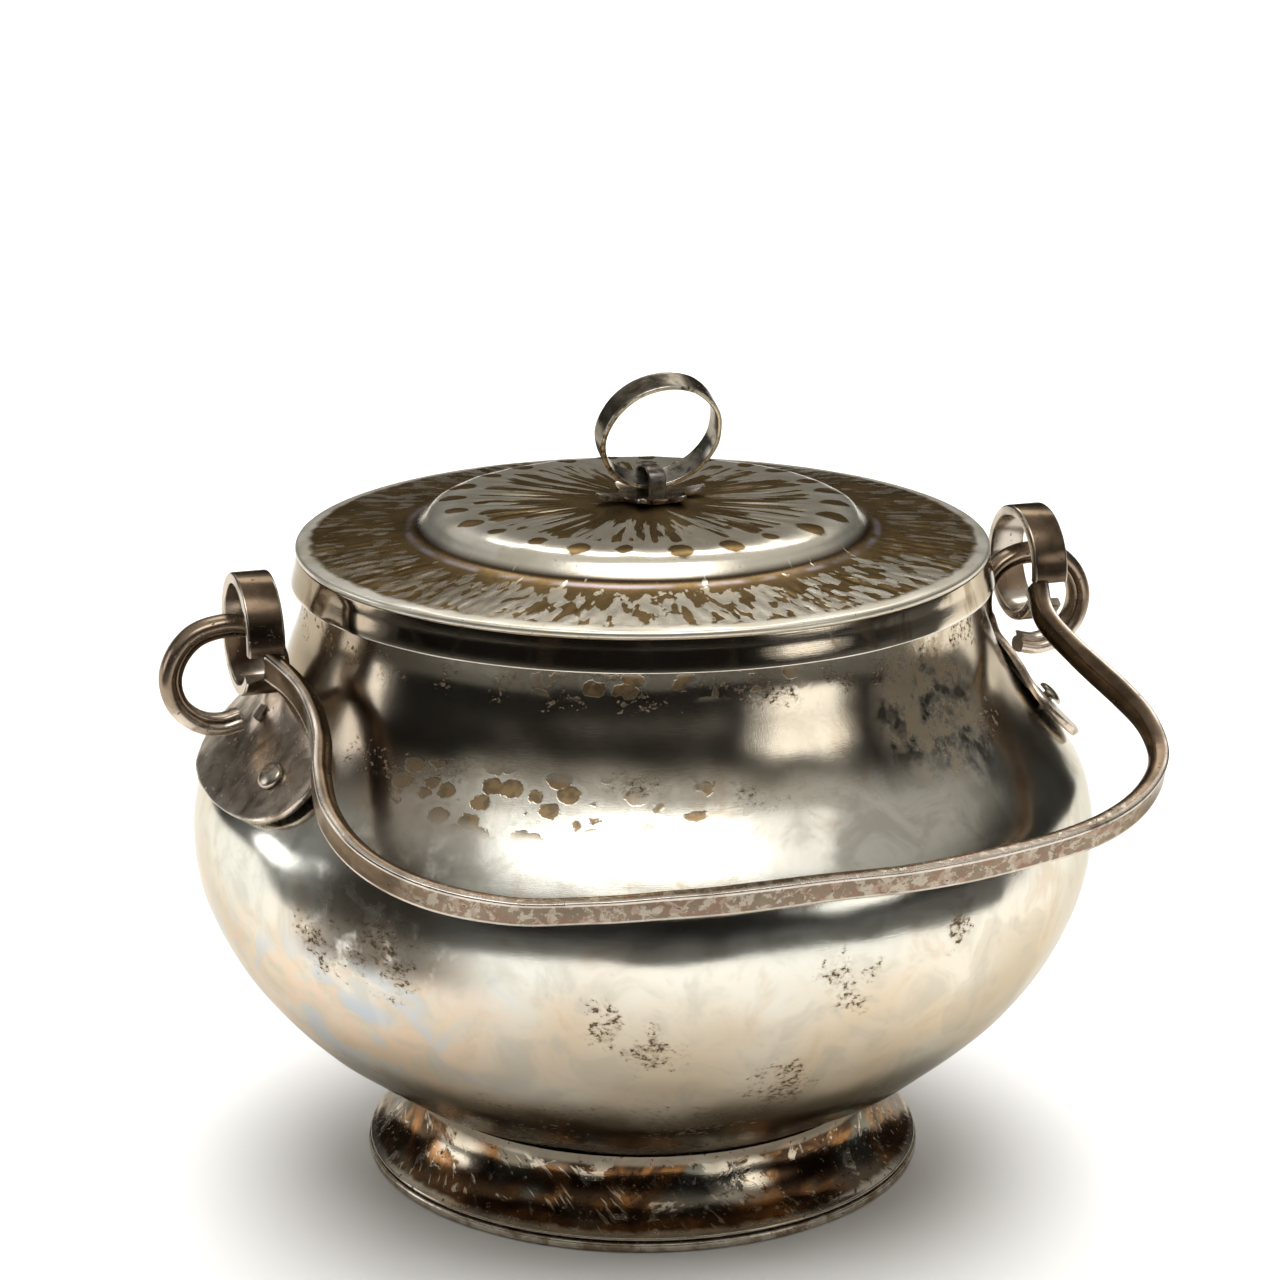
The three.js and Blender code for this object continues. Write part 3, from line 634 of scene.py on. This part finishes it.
def plain_silver(name, light, dark, amount, rough, wear_and_sheen=None, grain=1.0):
    """Tarnished silver: mottled between two colours, with dark pits. An optional mask adds bright metal where it
    is 1: wear, and on the ears' lower edges also a painted highlight.

    light is a colour or a function of the graph, and the bright-metal mask a function of the graph.
    """
    g = Graph(name)
    light = light(g) if callable(light) else light
    mottle = g.noise(0.35 * grain, 4.0, 0.6, 0.5)
    g.paint = g.colour(g.step(mottle, 0.56 - amount * 0.4, 0.86 - amount * 0.4), light, dark)
    pits = g.step(g.noise(1.3 * grain, 3.0, 0.6), 0.66, 0.71)
    g.tint(pits * 0.8, SOOT)
    if wear_and_sheen is not None:
        # bright metal where the mask is 1: wear, and on the ears a painted highlight
        shine = wear_and_sheen(g) * g.patch(0.9, 3.0, 0.30, 0.50)
        g.tint(shine * 0.85, RUBBED_AND_HIGHLIGHT)
    roughness = rough + g.noise(0.3, 2.0) * 0.12 + pits * 0.2
    height = scratches(g, 0.3) - pits * 0.03 + g.noise(0.45, 2.0) * 0.03
    return g.finish(roughness, height, 0.92 - pits * 0.4)


def bail_material():
    g = Graph("brown_silver_bail")
    mottle = g.noise(0.16, 3.0, 0.6, 0.4)
    g.paint = g.colour(g.step(mottle, 0.36, 0.66), (0.165, 0.116, 0.076), (0.075, 0.052, 0.033))
    # The rod's front stretch is flecked and, as painted light, tinted lighter than the arms; its sides are
    # smooth.
    flake = g.step(g.noise(0.75, 4.0, 0.66, 0.4), 0.50, 0.55)
    front = g.step(g.y, -50.0, -57.0)
    # painted light: the front stretch is lighter than the arms
    g.tint(front * 0.5, (0.30, 0.24, 0.18))
    g.tint(flake * front * 0.7, (0.46, 0.41, 0.33))
    red = g.step(g.noise(0.5, 3.0, 0.6, at=g.moved(5.0, 50.0, 9.0)), 0.50, 0.58) * front
    g.tint(red * 0.45, (0.24, 0.125, 0.085))
    pits = g.step(g.noise(1.5, 3.0, 0.6), 0.66, 0.71)
    g.tint(pits * 0.7, SOOT)
    # wear and painted highlight: lighter metal along the edges
    shine = g.step(g.edge(), 0.3, 1.0) * g.patch(0.14, 2.0, 0.22, 0.52)
    g.tint(shine * 0.8, (0.70, 0.63, 0.55))
    rough = 0.15 + g.noise(0.3, 2.0) * 0.12 + pits * 0.2 + front * 0.06
    height = scratches(g, 0.4) - pits * 0.03 + flake * front * 0.006
    return g.finish(rough, height, 0.95 - pits * 0.4)


# ---- Bowl ----
outside = smooth(BOWL_BOTTOM + BOWL_BELLY + BOWL_NECK, 176)
inside = (outside + normals2(outside) * BOWL_WALL)[::2][1:]
t = np.linspace(0, math.pi, 7)[1:-1]
rim_arc = np.stack([RIM["middle"] + RIM["half"] * np.cos(t), RIM["z"] + RIM["half"] * np.sin(t)], 1)
bowl_profile = np.vstack([outside, rim_arc, inside[::-1], [[0, BOWL_BOTTOM[0][1] + BOWL_WALL]]])
beaten, rippled = waves(3, 11, 22, 40, 1.3), waves(5, 4.5, 9, 50, 1.2)
inner_beaten = waves(8, 8, 16, 36)


def bowl_relief(r, z, theta, index):
    """Hammer marks, none under the foot or at the rim."""
    x, y = r * np.cos(theta), r * np.sin(theta)
    skin_out = (index < len(outside) - 1).astype(float)
    ends = fade(z, 7.5, 15.0) * fade(-z, -80.5, -76.0)
    out = (0.075 * beaten(x, y, z) + 0.014 * rippled(x, y, z)) * ends
    return out * skin_out + (1 - skin_out) * 0.03 * inner_beaten(x, y, z) * ends


build("bowl_body_detail", *lathe(bowl_profile, 300, bowl_relief), "bowl", ["bowl_body"], "bowl_silver",
      bowl_material(), 50)

# ---- Foot and base wire ----
foot_out = smooth(FOOT_PROFILE, 34)
foot_in = foot_out - normals2(foot_out) * FOOT_SHEET
seat = WIRE["height"] + GAP
foot_lip = corner(foot_out[-1], (37.35, 1.85), (37.35, seat), 0.2)
foot_profile = np.vstack([
    foot_out, foot_lip, [(37.3, seat), (WIRE["inner"] + 0.4, seat)], foot_in[::-1][2:-1],
    [(31.1, 10.2), (31.3, 10.45), (32.0, 10.85)],
])
foot_beaten = waves(11, 5, 11, 36)


def foot_relief(r, z, theta, index):
    x, y = r * np.cos(theta), r * np.sin(theta)
    return 0.045 * foot_beaten(x, y, z) * fade(z, 2.2, 4.0) * fade(-z, -10.2, -9.0)


build("foot_detail", *lathe(foot_profile, 240, foot_relief), "bowl", ["foot"], "foot_silver",
      foot_material(), 50)
wi, wo, wh = WIRE["inner"], WIRE["outer"], WIRE["height"]
wire_loop = rounded([(wi, 0), (wo, 0), (wo, wh), (wi, wh)], [0.15, 0.5, 0.5, 0.15], 6)
build("foot_base_wire_detail", *lathe(wire_loop, 240), "bowl", ["foot_base_wire"], "foot_wire_silver",
      plain_silver("worn_silver_wire", (0.66, 0.60, 0.50), (0.30, 0.22, 0.14), 0.45, 0.2), 60)

# ---- Lid ----
lid_top = smooth(LID_PROFILE, 130)
lid_under = (lid_top - normals2(lid_top) * LID_SHEET)[::3]
lid_profile = np.vstack([
    lid_top,
    corner(LID_PROFILE[-1], LID_EDGE["top"], LID_EDGE["bottom"], 0.62, 7),
    corner((45.55, 84.6), LID_EDGE["bottom"], LID_EDGE["inner"], 0.2, 3),
    [LID_EDGE["inner"]],
    lid_under[::-1][1:-1],
    [(0, LID_PROFILE[0][1] - LID_SHEET)],
])
boss_rays, flange_rays = rays(21, 34, 70, 40, 14.0), rays(23, 90, 190, 60, 6.0)
lid_beaten = waves(25, 7, 15, 36)
spot_angles = (np.arange(SPOTS) + 0.5) * TAU / SPOTS - math.pi


def lid_relief(r, z, theta, index):
    """Hammer marks, radial ridges on the boss and the flange, and a hollow at each spot."""
    x, y = r * np.cos(theta), r * np.sin(theta)
    top = (index < len(lid_top)).astype(float)
    height = 0.020 * lid_beaten(x, y, z) * fade(r, 1, 6)
    height = height + 0.022 * boss_rays(r, theta) * fade(r, 8, 15) * fade(-r, -24.0, -21.0)
    height = height + 0.028 * flange_rays(r, theta) * fade(r, 31, 36) * fade(-r, -43.8, -42.5)
    for angle in spot_angles:
        turn = np.abs((theta - angle + math.pi) % TAU - math.pi) * SPOT_CIRCLE
        height = height - 0.10 * np.exp(-((turn / 1.5) ** 2) - ((r - SPOT_MIDDLE) / 1.9) ** 2)
    return height * top


build("lid_plate_detail", *lathe(lid_profile, 480, lid_relief), "lid", ["lid_plate"], "lid_silver",
      lid_material(), 50)
skirt_beaten = waves(31, 9, 20, 30)


def skirt_relief(r, z, theta, index):
    return 0.02 * skirt_beaten(r * np.cos(theta), r * np.sin(theta), z) * fade(r, 45.2, 45.5)


build("lid_skirt_detail", *lathe(rounded(SKIRT_LOOP, SKIRT_CORNERS), 300, skirt_relief), "lid", ["lid_skirt"],
      "skirt_silver", skirt_material(), 60)


# ---- Finial ----
def rosette_shape():
    """A sheet cut out in petals whose tips lift. reach is the outline's radius at each angle."""
    count, rows = 288, 18
    petals, root = ROSETTE["petals"], ROSETTE["root"]
    angles = np.arange(count) * TAU / count
    reach = np.full(count, ROSETTE["hub"])
    lift_reach = np.full(count, ROSETTE["long"])
    for k in range(petals):
        tip = ROSETTE["long"] if k % 3 == 0 else ROSETTE["short"]
        off = (angles - k * TAU / petals + math.pi) % TAU - math.pi
        for i, d in enumerate(off):
            if abs(d) > TAU / petals / 2:
                continue
            lift_reach[i] = tip
            for rr in np.linspace(tip, ROSETTE["hub"], 80):
                t = (rr * math.cos(d) - root) / (tip - root)
                half = ROSETTE["half"] * math.sqrt(max(1 - (2 * t - 0.7) ** 2 / 1.75, 0.0)) if t <= 1 else 0
                if abs(rr * math.sin(d)) <= half:
                    reach[i] = max(reach[i], rr)
                    break
    for _ in range(2):
        reach = (np.roll(reach, 1) + 2 * reach + np.roll(reach, -1)) / 4

    def sheet(share, up):
        r = reach * share
        t = np.clip((r - root) / (lift_reach - root), 0, 1)
        z = ROSETTE["z"] + ROSETTE["lift"] * np.maximum(0, (t - 0.35) / 0.65) ** 2 + up
        return np.stack([FINIAL_X + r * np.cos(angles), r * np.sin(angles), z], 1)

    shares = np.linspace(0.08, 1, rows)
    low = [sheet(s, 0.0) for s in shares[:-1]] + [sheet(0.985, 0.0), sheet(1.0, 0.12)]
    high = [sheet(1.0, ROSETTE["sheet"] - 0.12), sheet(0.985, ROSETTE["sheet"])]
    return skin(low + high + [sheet(s, ROSETTE["sheet"]) for s in shares[-2::-1]])


def petal_wear(g):
    side = g.x - FINIAL_X
    return g.step(g.math("SQRT", side * side + g.y * g.y), 4.6, 6.4)


ROSETTE_SILVER = plain_silver("brown_silver_rosette", (0.34, 0.26, 0.18), (0.12, 0.085, 0.055), 0.5, 0.20,
                              petal_wear, 1.6)
build("finial_rosette_detail", *rosette_shape(), "lid", ["finial_rosette"], "finial_silver", ROSETTE_SILVER, 40)

under, span, top, splay = STAPLE["under"], STAPLE["span"], STAPLE["top"], STAPLE["splay"]
half_line = [(-splay, under), (-span - 1.0, under), (-span - 0.25, under + 0.2), (-span, under + 0.9),
             (-span, 91.5), (-span, top - 1.3), (-span + 0.5, top - 0.4), (-span + 1.4, top), (0, top)]
staple_line = smooth(half_line + [(-y, z) for y, z in half_line[:-1][::-1]], 110)
sw, st = STAPLE["width"] / 2, STAPLE["thick"] / 2
strip = rounded([(-sw, -st), (sw, -st), (sw, st), (-sw, st)], 0.2, 4)
staple_rings = []
for (y, z), (ny, nz) in zip(staple_line, normals2(staple_line)):
    waist = 1 - 0.22 * math.exp(-((y / 1.2) ** 2)) * (z > 93)
    staple_rings.append([(FINIAL_X + a * waist, y + ny * b, z + nz * b) for a, b in strip])
build("finial_staple_detail", *skin(staple_rings), "lid", ["finial_staple"], "finial_silver",
      plain_silver("grey_silver_staple", (0.30, 0.275, 0.24), (0.06, 0.05, 0.04), 0.5, 0.3, None, 1.8), 50)

fo, ft, fw = RING["outer"], RING["thick"], RING["width"]
band = rounded([(fo - ft, -fw / 2), (fo, -fw / 2), (fo, fw / 2), (fo - ft, fw / 2)], 0.17, 4)
band = np.vstack([band[:8], spaced([(fo, -fw / 2 + 0.2), (fo, fw / 2 - 0.2)], 8)[1:-1], band[8:]])
ring_steps = 200
ring_verts, ring_faces = lathe(band, ring_steps)
ring_beaten = waves(37, 3.5, 7, 24)
lean = math.radians(RING["lean"])
x, y, z = ring_verts.T
y, z = -z, y  # the axis goes from Z to Y
swell = 1 + 0.004 * ring_beaten(x, y * 0.4, z)
x, z = x * swell, z * swell + fo - ft / 2
ring_verts = np.stack([FINIAL_X + x, y * math.cos(lean) - z * math.sin(lean),
                       RING["pivot"] + y * math.sin(lean) + z * math.cos(lean)], 1)
ring_mesh = build("finial_ring_detail", ring_verts, ring_faces, "finial_ring", ["finial_ring"], "finial_silver",
                  plain_silver("dark_silver_ring", (0.17, 0.150, 0.115), (0.065, 0.054, 0.040), 0.5, 0.13,
                               Graph.edge, 1.3), 60)
across = np.abs(np.repeat(band[:, 1], ring_steps)) / (fw / 2)
mark_edges(ring_mesh, fade(across, 0.86, 0.97))

# ---- Ears ----
wall_line = smooth(BOWL_BELLY + BOWL_NECK, 400)
wall_slope = np.gradient(wall_line[:, 0]) / np.gradient(wall_line[:, 1])


def on_bowl(arc, z, out):
    """Points out from the bowl's surface, arc round from the +X ear's centre line."""
    radius = np.interp(z, wall_line[:, 1], wall_line[:, 0])
    slope = np.interp(z, wall_line[:, 1], wall_slope)
    length = np.sqrt(1 + slope**2)
    angle, r = arc / PLATE["wrap"], radius + out / length
    return np.stack([r * np.cos(angle), r * np.sin(angle), z - out * slope / length], -1)


def ear_plate():
    """The oval plate on the bowl's wall, in rings shrunk towards its middle."""
    loop = PLATE_OUTLINE + [(-s, z) for s, z in PLATE_OUTLINE[1:-1][::-1]]
    line = smooth(loop, 160, True)[:-1]
    bent = waves(41, 6, 13, 24)

    def layer(share, level):
        """One ring; level is 0 on the back of the plate and 1 on its front."""
        s, z = line[:, 0] * share, PLATE["middle"] + (line[:, 1] - PLATE["middle"]) * share
        ridge = np.exp(-((s / PLATE_RIDGE["half"]) ** 2)) * fade(z, PLATE_RIDGE["from"], PLATE_RIDGE["to"])
        rise = ridge * PLATE_RIDGE["height"] * level * (share < 0.999)
        dish = -0.12 * (1 - share**2) * level
        beat = 0.05 * bent(s, z, 0 * s) * level
        return on_bowl(s, z, GAP + PLATE["curl"] * share**4 + PLATE["sheet"] * level + rise + dish + beat)

    shares = [0.04, 0.15, 0.28, 0.4, 0.52, 0.63, 0.73, 0.82, 0.89, 0.94, 0.975]
    front = [layer(s, 1.0) for s in shares]
    lip = [layer(0.993, 0.93), layer(1.0, 0.7), layer(1.0, 0.3), layer(0.995, 0.05)]
    back = [layer(s, 0.0) for s in shares[::-1][::2]]
    return skin(front + lip + back)


def eye_wire():
    """The curled wire: a round main strand with a thin bead along its inner side."""
    steps = 150
    path = smooth(EYE_PATH, steps)
    rho = np.linspace(-1, 1, 25)  # across the wire, from its inner side to its outer one
    at = rho * 1.45  # the same in millimetres
    main = np.sqrt(np.clip(1 - np.abs((at - 0.36) / 1.09) ** 2.4, 0, 1)) * 1.75
    bead = np.sqrt(np.clip(1 - ((at + 1.12) / 0.33) ** 2, 0, 1)) * 1.42
    half = np.maximum(np.maximum(main, bead), 0.0)
    dip = (at > -1.0) & (at < -0.5)
    half = np.where(dip, np.maximum(half, 0.85), half)
    half[0] = half[-1] = 0.02
    section = [(a, -h) for a, h in zip(rho, half)] + [(a, h) for a, h in zip(rho[::-1], half[::-1])]
    rings = []
    for i, ((px, pz), (nx, nz)) in enumerate(zip(path, normals2(path))):
        full = np.clip((i / steps * EYE_WIRE["parts"] - EYE_WIRE["plain"]) / EYE_WIRE["blend"], 0, 1)
        scale = (EYE_WIRE["neck"] + EYE_WIRE["more"] * float(full)) / 2
        rings.append([(px + nx * a * scale, b, pz + nz * a * scale) for a, b in section])
    return skin(rings)


def turned_about_z(verts):
    return np.asarray(verts) * [-1, -1, 1]


def ear_light(g):
    """The plate is brighter than the wire."""
    return g.colour(g.step(g.z, 66.0, 69.5), (0.66, 0.565, 0.47), (0.30, 0.225, 0.16))


# painted highlight and wear: each plate's lower edge is lightened with bright metal
EAR = plain_silver("dull_silver_ear", ear_light, (0.26, 0.20, 0.145), 0.40, 0.20,
                   lambda g: g.step(g.z, 57.6, 55.8), 0.8)
RIVET_SILVER = plain_silver("rubbed_silver_rivet", (0.46, 0.41, 0.34), (0.24, 0.20, 0.15), 0.35, 0.2, None, 1.5)
ear_verts, ear_faces = merged(ear_plate(), eye_wire())
build("ear_right_detail", ear_verts, ear_faces, "bowl", ["ear_right"], "ear_silver", EAR, 50)
build("ear_left_detail", turned_about_z(ear_verts), ear_faces, "bowl", ["ear_left"], "ear_silver", EAR, 50)

seat_z, tail_z = GAP + PLATE["sheet"] + GAP, -BOWL_WALL - GAP
head, shank, tail = RIVET["head"], RIVET["shank"], RIVET["inside"]
dome = [(head * math.cos(a), seat_z + 0.2 + (RIVET["dome"] - 0.2) * math.sin(a))
        for a in np.linspace(0, math.pi / 2, 10)[:-1]]
rivet_line = [
    (0, tail_z - 0.7), (tail - 0.35, tail_z - 0.7), (tail - 0.08, tail_z - 0.6), (tail, tail_z - 0.35),
    (tail, tail_z), (shank, tail_z), (shank, seat_z), (head, seat_z), *dome, (0, seat_z + RIVET["dome"]),
]
rivet_verts, rivet_faces = lathe(rivet_line, 40)
for way, first, second in ((-1.0, "right_front", "left_back"), (1.0, "right_back", "left_front")):
    arc = way * RIVET["arc"]
    origin = on_bowl(arc, RIVET["z"], 0.0)
    out = on_bowl(arc, RIVET["z"], 1.0) - origin
    out /= np.linalg.norm(out)
    across = np.cross([0, 0, 1], out)
    across /= np.linalg.norm(across)
    basis = np.stack([across, np.cross(out, across), out])
    placed = rivet_verts * [1.0, 0.86, 1.0] @ basis + origin
    for name, points in ((f"rivet_{first}", placed), (f"rivet_{second}", turned_about_z(placed))):
        build(f"{name}_detail", points, rivet_faces, "bowl", [name], "rivet_silver", RIVET_SILVER)


# ---- Bail ----
def bail_shape():
    """The rod and its two rings, built level with the hinge on X. Also returns where the edges are worn and
    painted with a highlight.
    """
    steps = 330
    path = smooth(BAIL_PATH, steps)
    dx, dy = BAIL_ROD["depth"] / 2, BAIL_ROD["height"] / 2
    lower = corner((0.4, -1.0), (1.0, -1.0), (1.0, 0.0), 0.22, 5)
    upper = corner((1.0, 0.0), (1.0, 1.0), (0.4, 1.0), 0.22, 5)
    flat = np.stack([np.full(7, 1.0), np.linspace(-0.68, 0.68, 7)], 1)
    flat[:, 0] -= 0.05 * (1 - (flat[:, 1] / 0.68) ** 2)  # the flat face is a little hollow
    arc = np.linspace(math.pi / 2, 3 * math.pi / 2, 15)
    back = np.stack([0.35 + 1.35 * np.cos(arc), np.sin(arc)], 1)
    section = np.vstack([lower, flat, upper, back])
    wear_and_highlight = np.concatenate([np.ones(5), np.zeros(7), np.ones(5), 0.25 * np.ones(15)])
    bent = waves(47, 8, 18, 24)
    thin = waves(49, 15, 35, 16)
    rings, edge = [], []
    for i, ((px, d), (nx, nd)) in enumerate(zip(path, normals2(path))):
        far = min(i, steps - i) / steps * BAIL_ROD["parts"]  # parts of the rod from the nearer ring
        wide = 1 + 0.16 * math.exp(-((far / 4.0) ** 2))
        shade = 1 + 0.03 * float(thin(px, d, 0.0))
        lift = 0.05 * float(bent(px, d, 0.0)) * min(far / 20, 1)
        rings.append([(px + nx * a * dx * shade, -(d + nd * a * dx * shade), b * dy * wide * shade + lift)
                      for a, b in section])
        edge += wear_and_highlight.tolist()
    shapes = [skin(rings)]
    edge += [0.0, 0.0]
    ri, ro, rw = BAIL_RING["inner"], BAIL_RING["outer"], BAIL_RING["width"]
    strip = rounded([(ri, -rw / 2), (ro, -rw / 2), (ro, rw / 2), (ri, rw / 2)], [0.3, 0.38, 0.38, 0.3], 5)
    wear_and_highlight_strip = np.array([1.0 if abs(b) > rw / 2 - 0.35 else 0.0 for _, b in strip])
    # Seen from +X the rod leaves at 180 degrees; the curl starts under it and stops just above it.
    start = math.radians(180 + 12)
    stop = math.radians(180 - math.degrees(math.asin((BAIL_ROD["height"] / 2 + 0.75) / ro)) + 360)
    turn = np.linspace(start, stop, 120)
    for centre in (BAIL_RING["left"], BAIL_RING["right"]):
        shapes.append(skin([[(centre + b, a * math.cos(t), -a * math.sin(t)) for a, b in strip] for t in turn]))
        edge += np.tile(wear_and_highlight_strip, len(turn)).tolist() + [0.5, 0.5]
    return merged(*shapes), edge


(bail_verts, bail_faces), bail_edge = bail_shape()
drop = math.radians(HINGE["rest"])
x, y, z = bail_verts.T
bail_verts = np.stack([x, HINGE["y"] + y * math.cos(drop) - z * math.sin(drop),
                       HINGE["z"] + y * math.sin(drop) + z * math.cos(drop)], 1)
bail_piece = build("bail_detail", bail_verts, bail_faces, "bail", ["bail"], "bail_silver", bail_material(), 45)
mark_edges(bail_piece, bail_edge)


# ---- Floor, lights and camera ----
VIEW = -19.0  # azimuth of the main view, in degrees
FLOOR_FRONT, FLOOR_BACK, FLOOR_SIDE, FLOOR_OPENS = 0.28, 3.6, 2.4, 0.9  # metres from the bowl's axis
CAMERA = {"away": 0.46418, "height": 0.20603, "down": 16.238, "lens": 102.61, "shift": -0.00206}


def in_view(side, away):
    """A point on the floor, from its distance to the right and away as seen in the main view."""
    turn = math.radians(VIEW)
    return side * math.cos(turn) - away * math.sin(turn), side * math.sin(turn) + away * math.cos(turn)


def floor():
    """A pale table top: round in front, opening out behind the bowl."""
    arc = np.linspace(math.pi, 2 * math.pi, 49)
    front = [in_view(FLOOR_FRONT * math.cos(a), FLOOR_FRONT * math.sin(a)) for a in arc]
    back = [in_view(*point) for point in ((FLOOR_SIDE, FLOOR_OPENS), (FLOOR_SIDE, FLOOR_BACK),
                                          (-FLOOR_SIDE, FLOOR_BACK), (-FLOOR_SIDE, FLOOR_OPENS))]
    verts = [(px, py, -0.0001) for px, py in front + back]
    mesh = bpy.data.meshes.new("floor")
    mesh.from_pydata(verts, [], [list(range(len(verts)))])
    obj = bpy.data.objects.new("floor", mesh)
    bpy.context.scene.collection.objects.link(obj)
    material = bpy.data.materials.new("pale_floor")
    material.use_nodes = True
    shader = material.node_tree.nodes["Principled BSDF"]
    shader.inputs["Base Color"].default_value = (0.90, 0.895, 0.88, 1)
    shader.inputs["Roughness"].default_value = 0.75
    shader.inputs["Specular IOR Level"].default_value = 0.0
    mesh.materials.append(material)


def area_light(name, size, power, colour, location, rotation, reflected=True):
    data = bpy.data.lights.new(name, "AREA")
    data.shape, data.size, data.size_y, data.energy, data.color = "ELLIPSE", *size, power, colour
    light = bpy.data.objects.new(name, data)
    light.location, light.rotation_euler = location, rotation
    light.visible_camera, light.visible_glossy = False, reflected
    bpy.context.scene.collection.objects.link(light)


def soft_light(name, azimuth, elevation, distance, width, height, core, halo, colour=(1, 1, 1)):
    """An oval light aimed at the bowl's middle, inside a dimmer one; core and halo are their radiances."""
    a, e = math.radians(azimuth), math.radians(elevation)
    back = np.array([math.sin(a) * math.cos(e), -math.cos(a) * math.cos(e), math.sin(e)])
    for part, size, radiance, away in (("core", 1.0, core, 1.0), ("halo", 1.5, halo, 1.02)):
        if radiance == 0:
            continue
        power = radiance * math.pi * (math.pi / 4 * width * height * size**2)
        area_light(f"{name}_{part}", (width * size, height * size), power, colour,
                   (back * distance * away + [0, 0, 0.05]).tolist(), (math.pi / 2 - e, 0, a))


def floor_light(name, away, height, size, power):
    """Lights the floor from above without showing in the silver."""
    area_light(name, (size, size), power, (1, 1, 1), (*in_view(0, away), height), (0, 0, 0), False)


floor()
soft_light("overhead_front", VIEW + 4, 68, 1.0, 0.86, 0.42, 3.0, 0.8)
soft_light("window_right", VIEW + 54, 17, 0.9, 0.38, 0.22, 1.4, 0.32, (1.0, 0.985, 0.95))
soft_light("window_left", VIEW - 101, 11, 0.9, 0.36, 0.34, 2.2, 0.25, (0.97, 0.985, 1.0))
soft_light("overhead_back", VIEW + 176, 49, 1.2, 1.00, 0.36, 3.4, 0.0)
floor_light("floor_near", -0.1, 1.9, 2.4, 18.0)
floor_light("floor_far", 2.1, 2.1, 3.4, 85.0)

# The camera sees a pale room. The silver sees a dark one in front, lighter above and behind.
# Each pair is the sine of an elevation and the room's grey there.
ROOM_FRONT = [(0.0, 0.12), (0.04, 0.05), (0.10, 0.008), (0.40, 0.010), (0.48, 0.06), (0.66, 0.48), (1.0, 0.50)]
ROOM_BEHIND = [(0.0, 0.03), (0.26, 0.04), (0.40, 0.10), (0.50, 0.45), (0.66, 0.40), (1.0, 0.48)]
world = bpy.data.worlds.new("studio")
bpy.context.scene.world = world
sky = Nodes(world)


def sky_shade(height, stops):
    """Slightly warm greys between the stops."""
    node = sky.node("ShaderNodeValToRGB", height)
    ramp = node.color_ramp
    ramp.elements.remove(ramp.elements[-1])
    for i, (position, value) in enumerate(stops):
        element = ramp.elements[0] if i == 0 else ramp.elements.new(position)
        element.position, element.color = position, (value * 1.03, value, value * 0.93, 1)
    return node.outputs[0]


way = sky.node("ShaderNodeTexCoord").outputs["Generated"]
up = sky.node("ShaderNodeSeparateXYZ", way).outputs["Z"]
ahead = sky.node("ShaderNodeVectorMath", way, (*in_view(0, 1), 0), settings={"operation": "DOT_PRODUCT"})
behind = sky.step(ahead.outputs["Value"], -0.1, 0.7)
room = sky.colour(behind, sky_shade(up, ROOM_FRONT), sky_shade(up, ROOM_BEHIND))
seen = sky.node("ShaderNodeBackground", (1.0, 1.0, 0.995, 1)).outputs[0]
lit = sky.node("ShaderNodeBackground", room).outputs[0]
by_camera = sky.node("ShaderNodeLightPath").outputs["Is Camera Ray"]
sky.node("ShaderNodeOutputWorld", sky.node("ShaderNodeMixShader", by_camera, lit, seen).outputs[0])

camera_data = bpy.data.cameras.new("camera")
camera_data.sensor_width = 36.0
camera_data.lens = CAMERA["lens"]
camera_data.shift_x = CAMERA["shift"]
camera_data.clip_start, camera_data.clip_end = 0.01, 20.0
camera = bpy.data.objects.new("camera", camera_data)
azimuth = math.radians(VIEW)
camera.location = (math.sin(azimuth) * CAMERA["away"], -math.cos(azimuth) * CAMERA["away"], CAMERA["height"])
camera.rotation_euler = (math.radians(90 - CAMERA["down"]), 0, azimuth)
bpy.context.scene.collection.objects.link(camera)
bpy.context.scene.camera = camera
bpy.context.scene.view_settings.view_transform = "Standard"

bpy.context.view_layer.update()
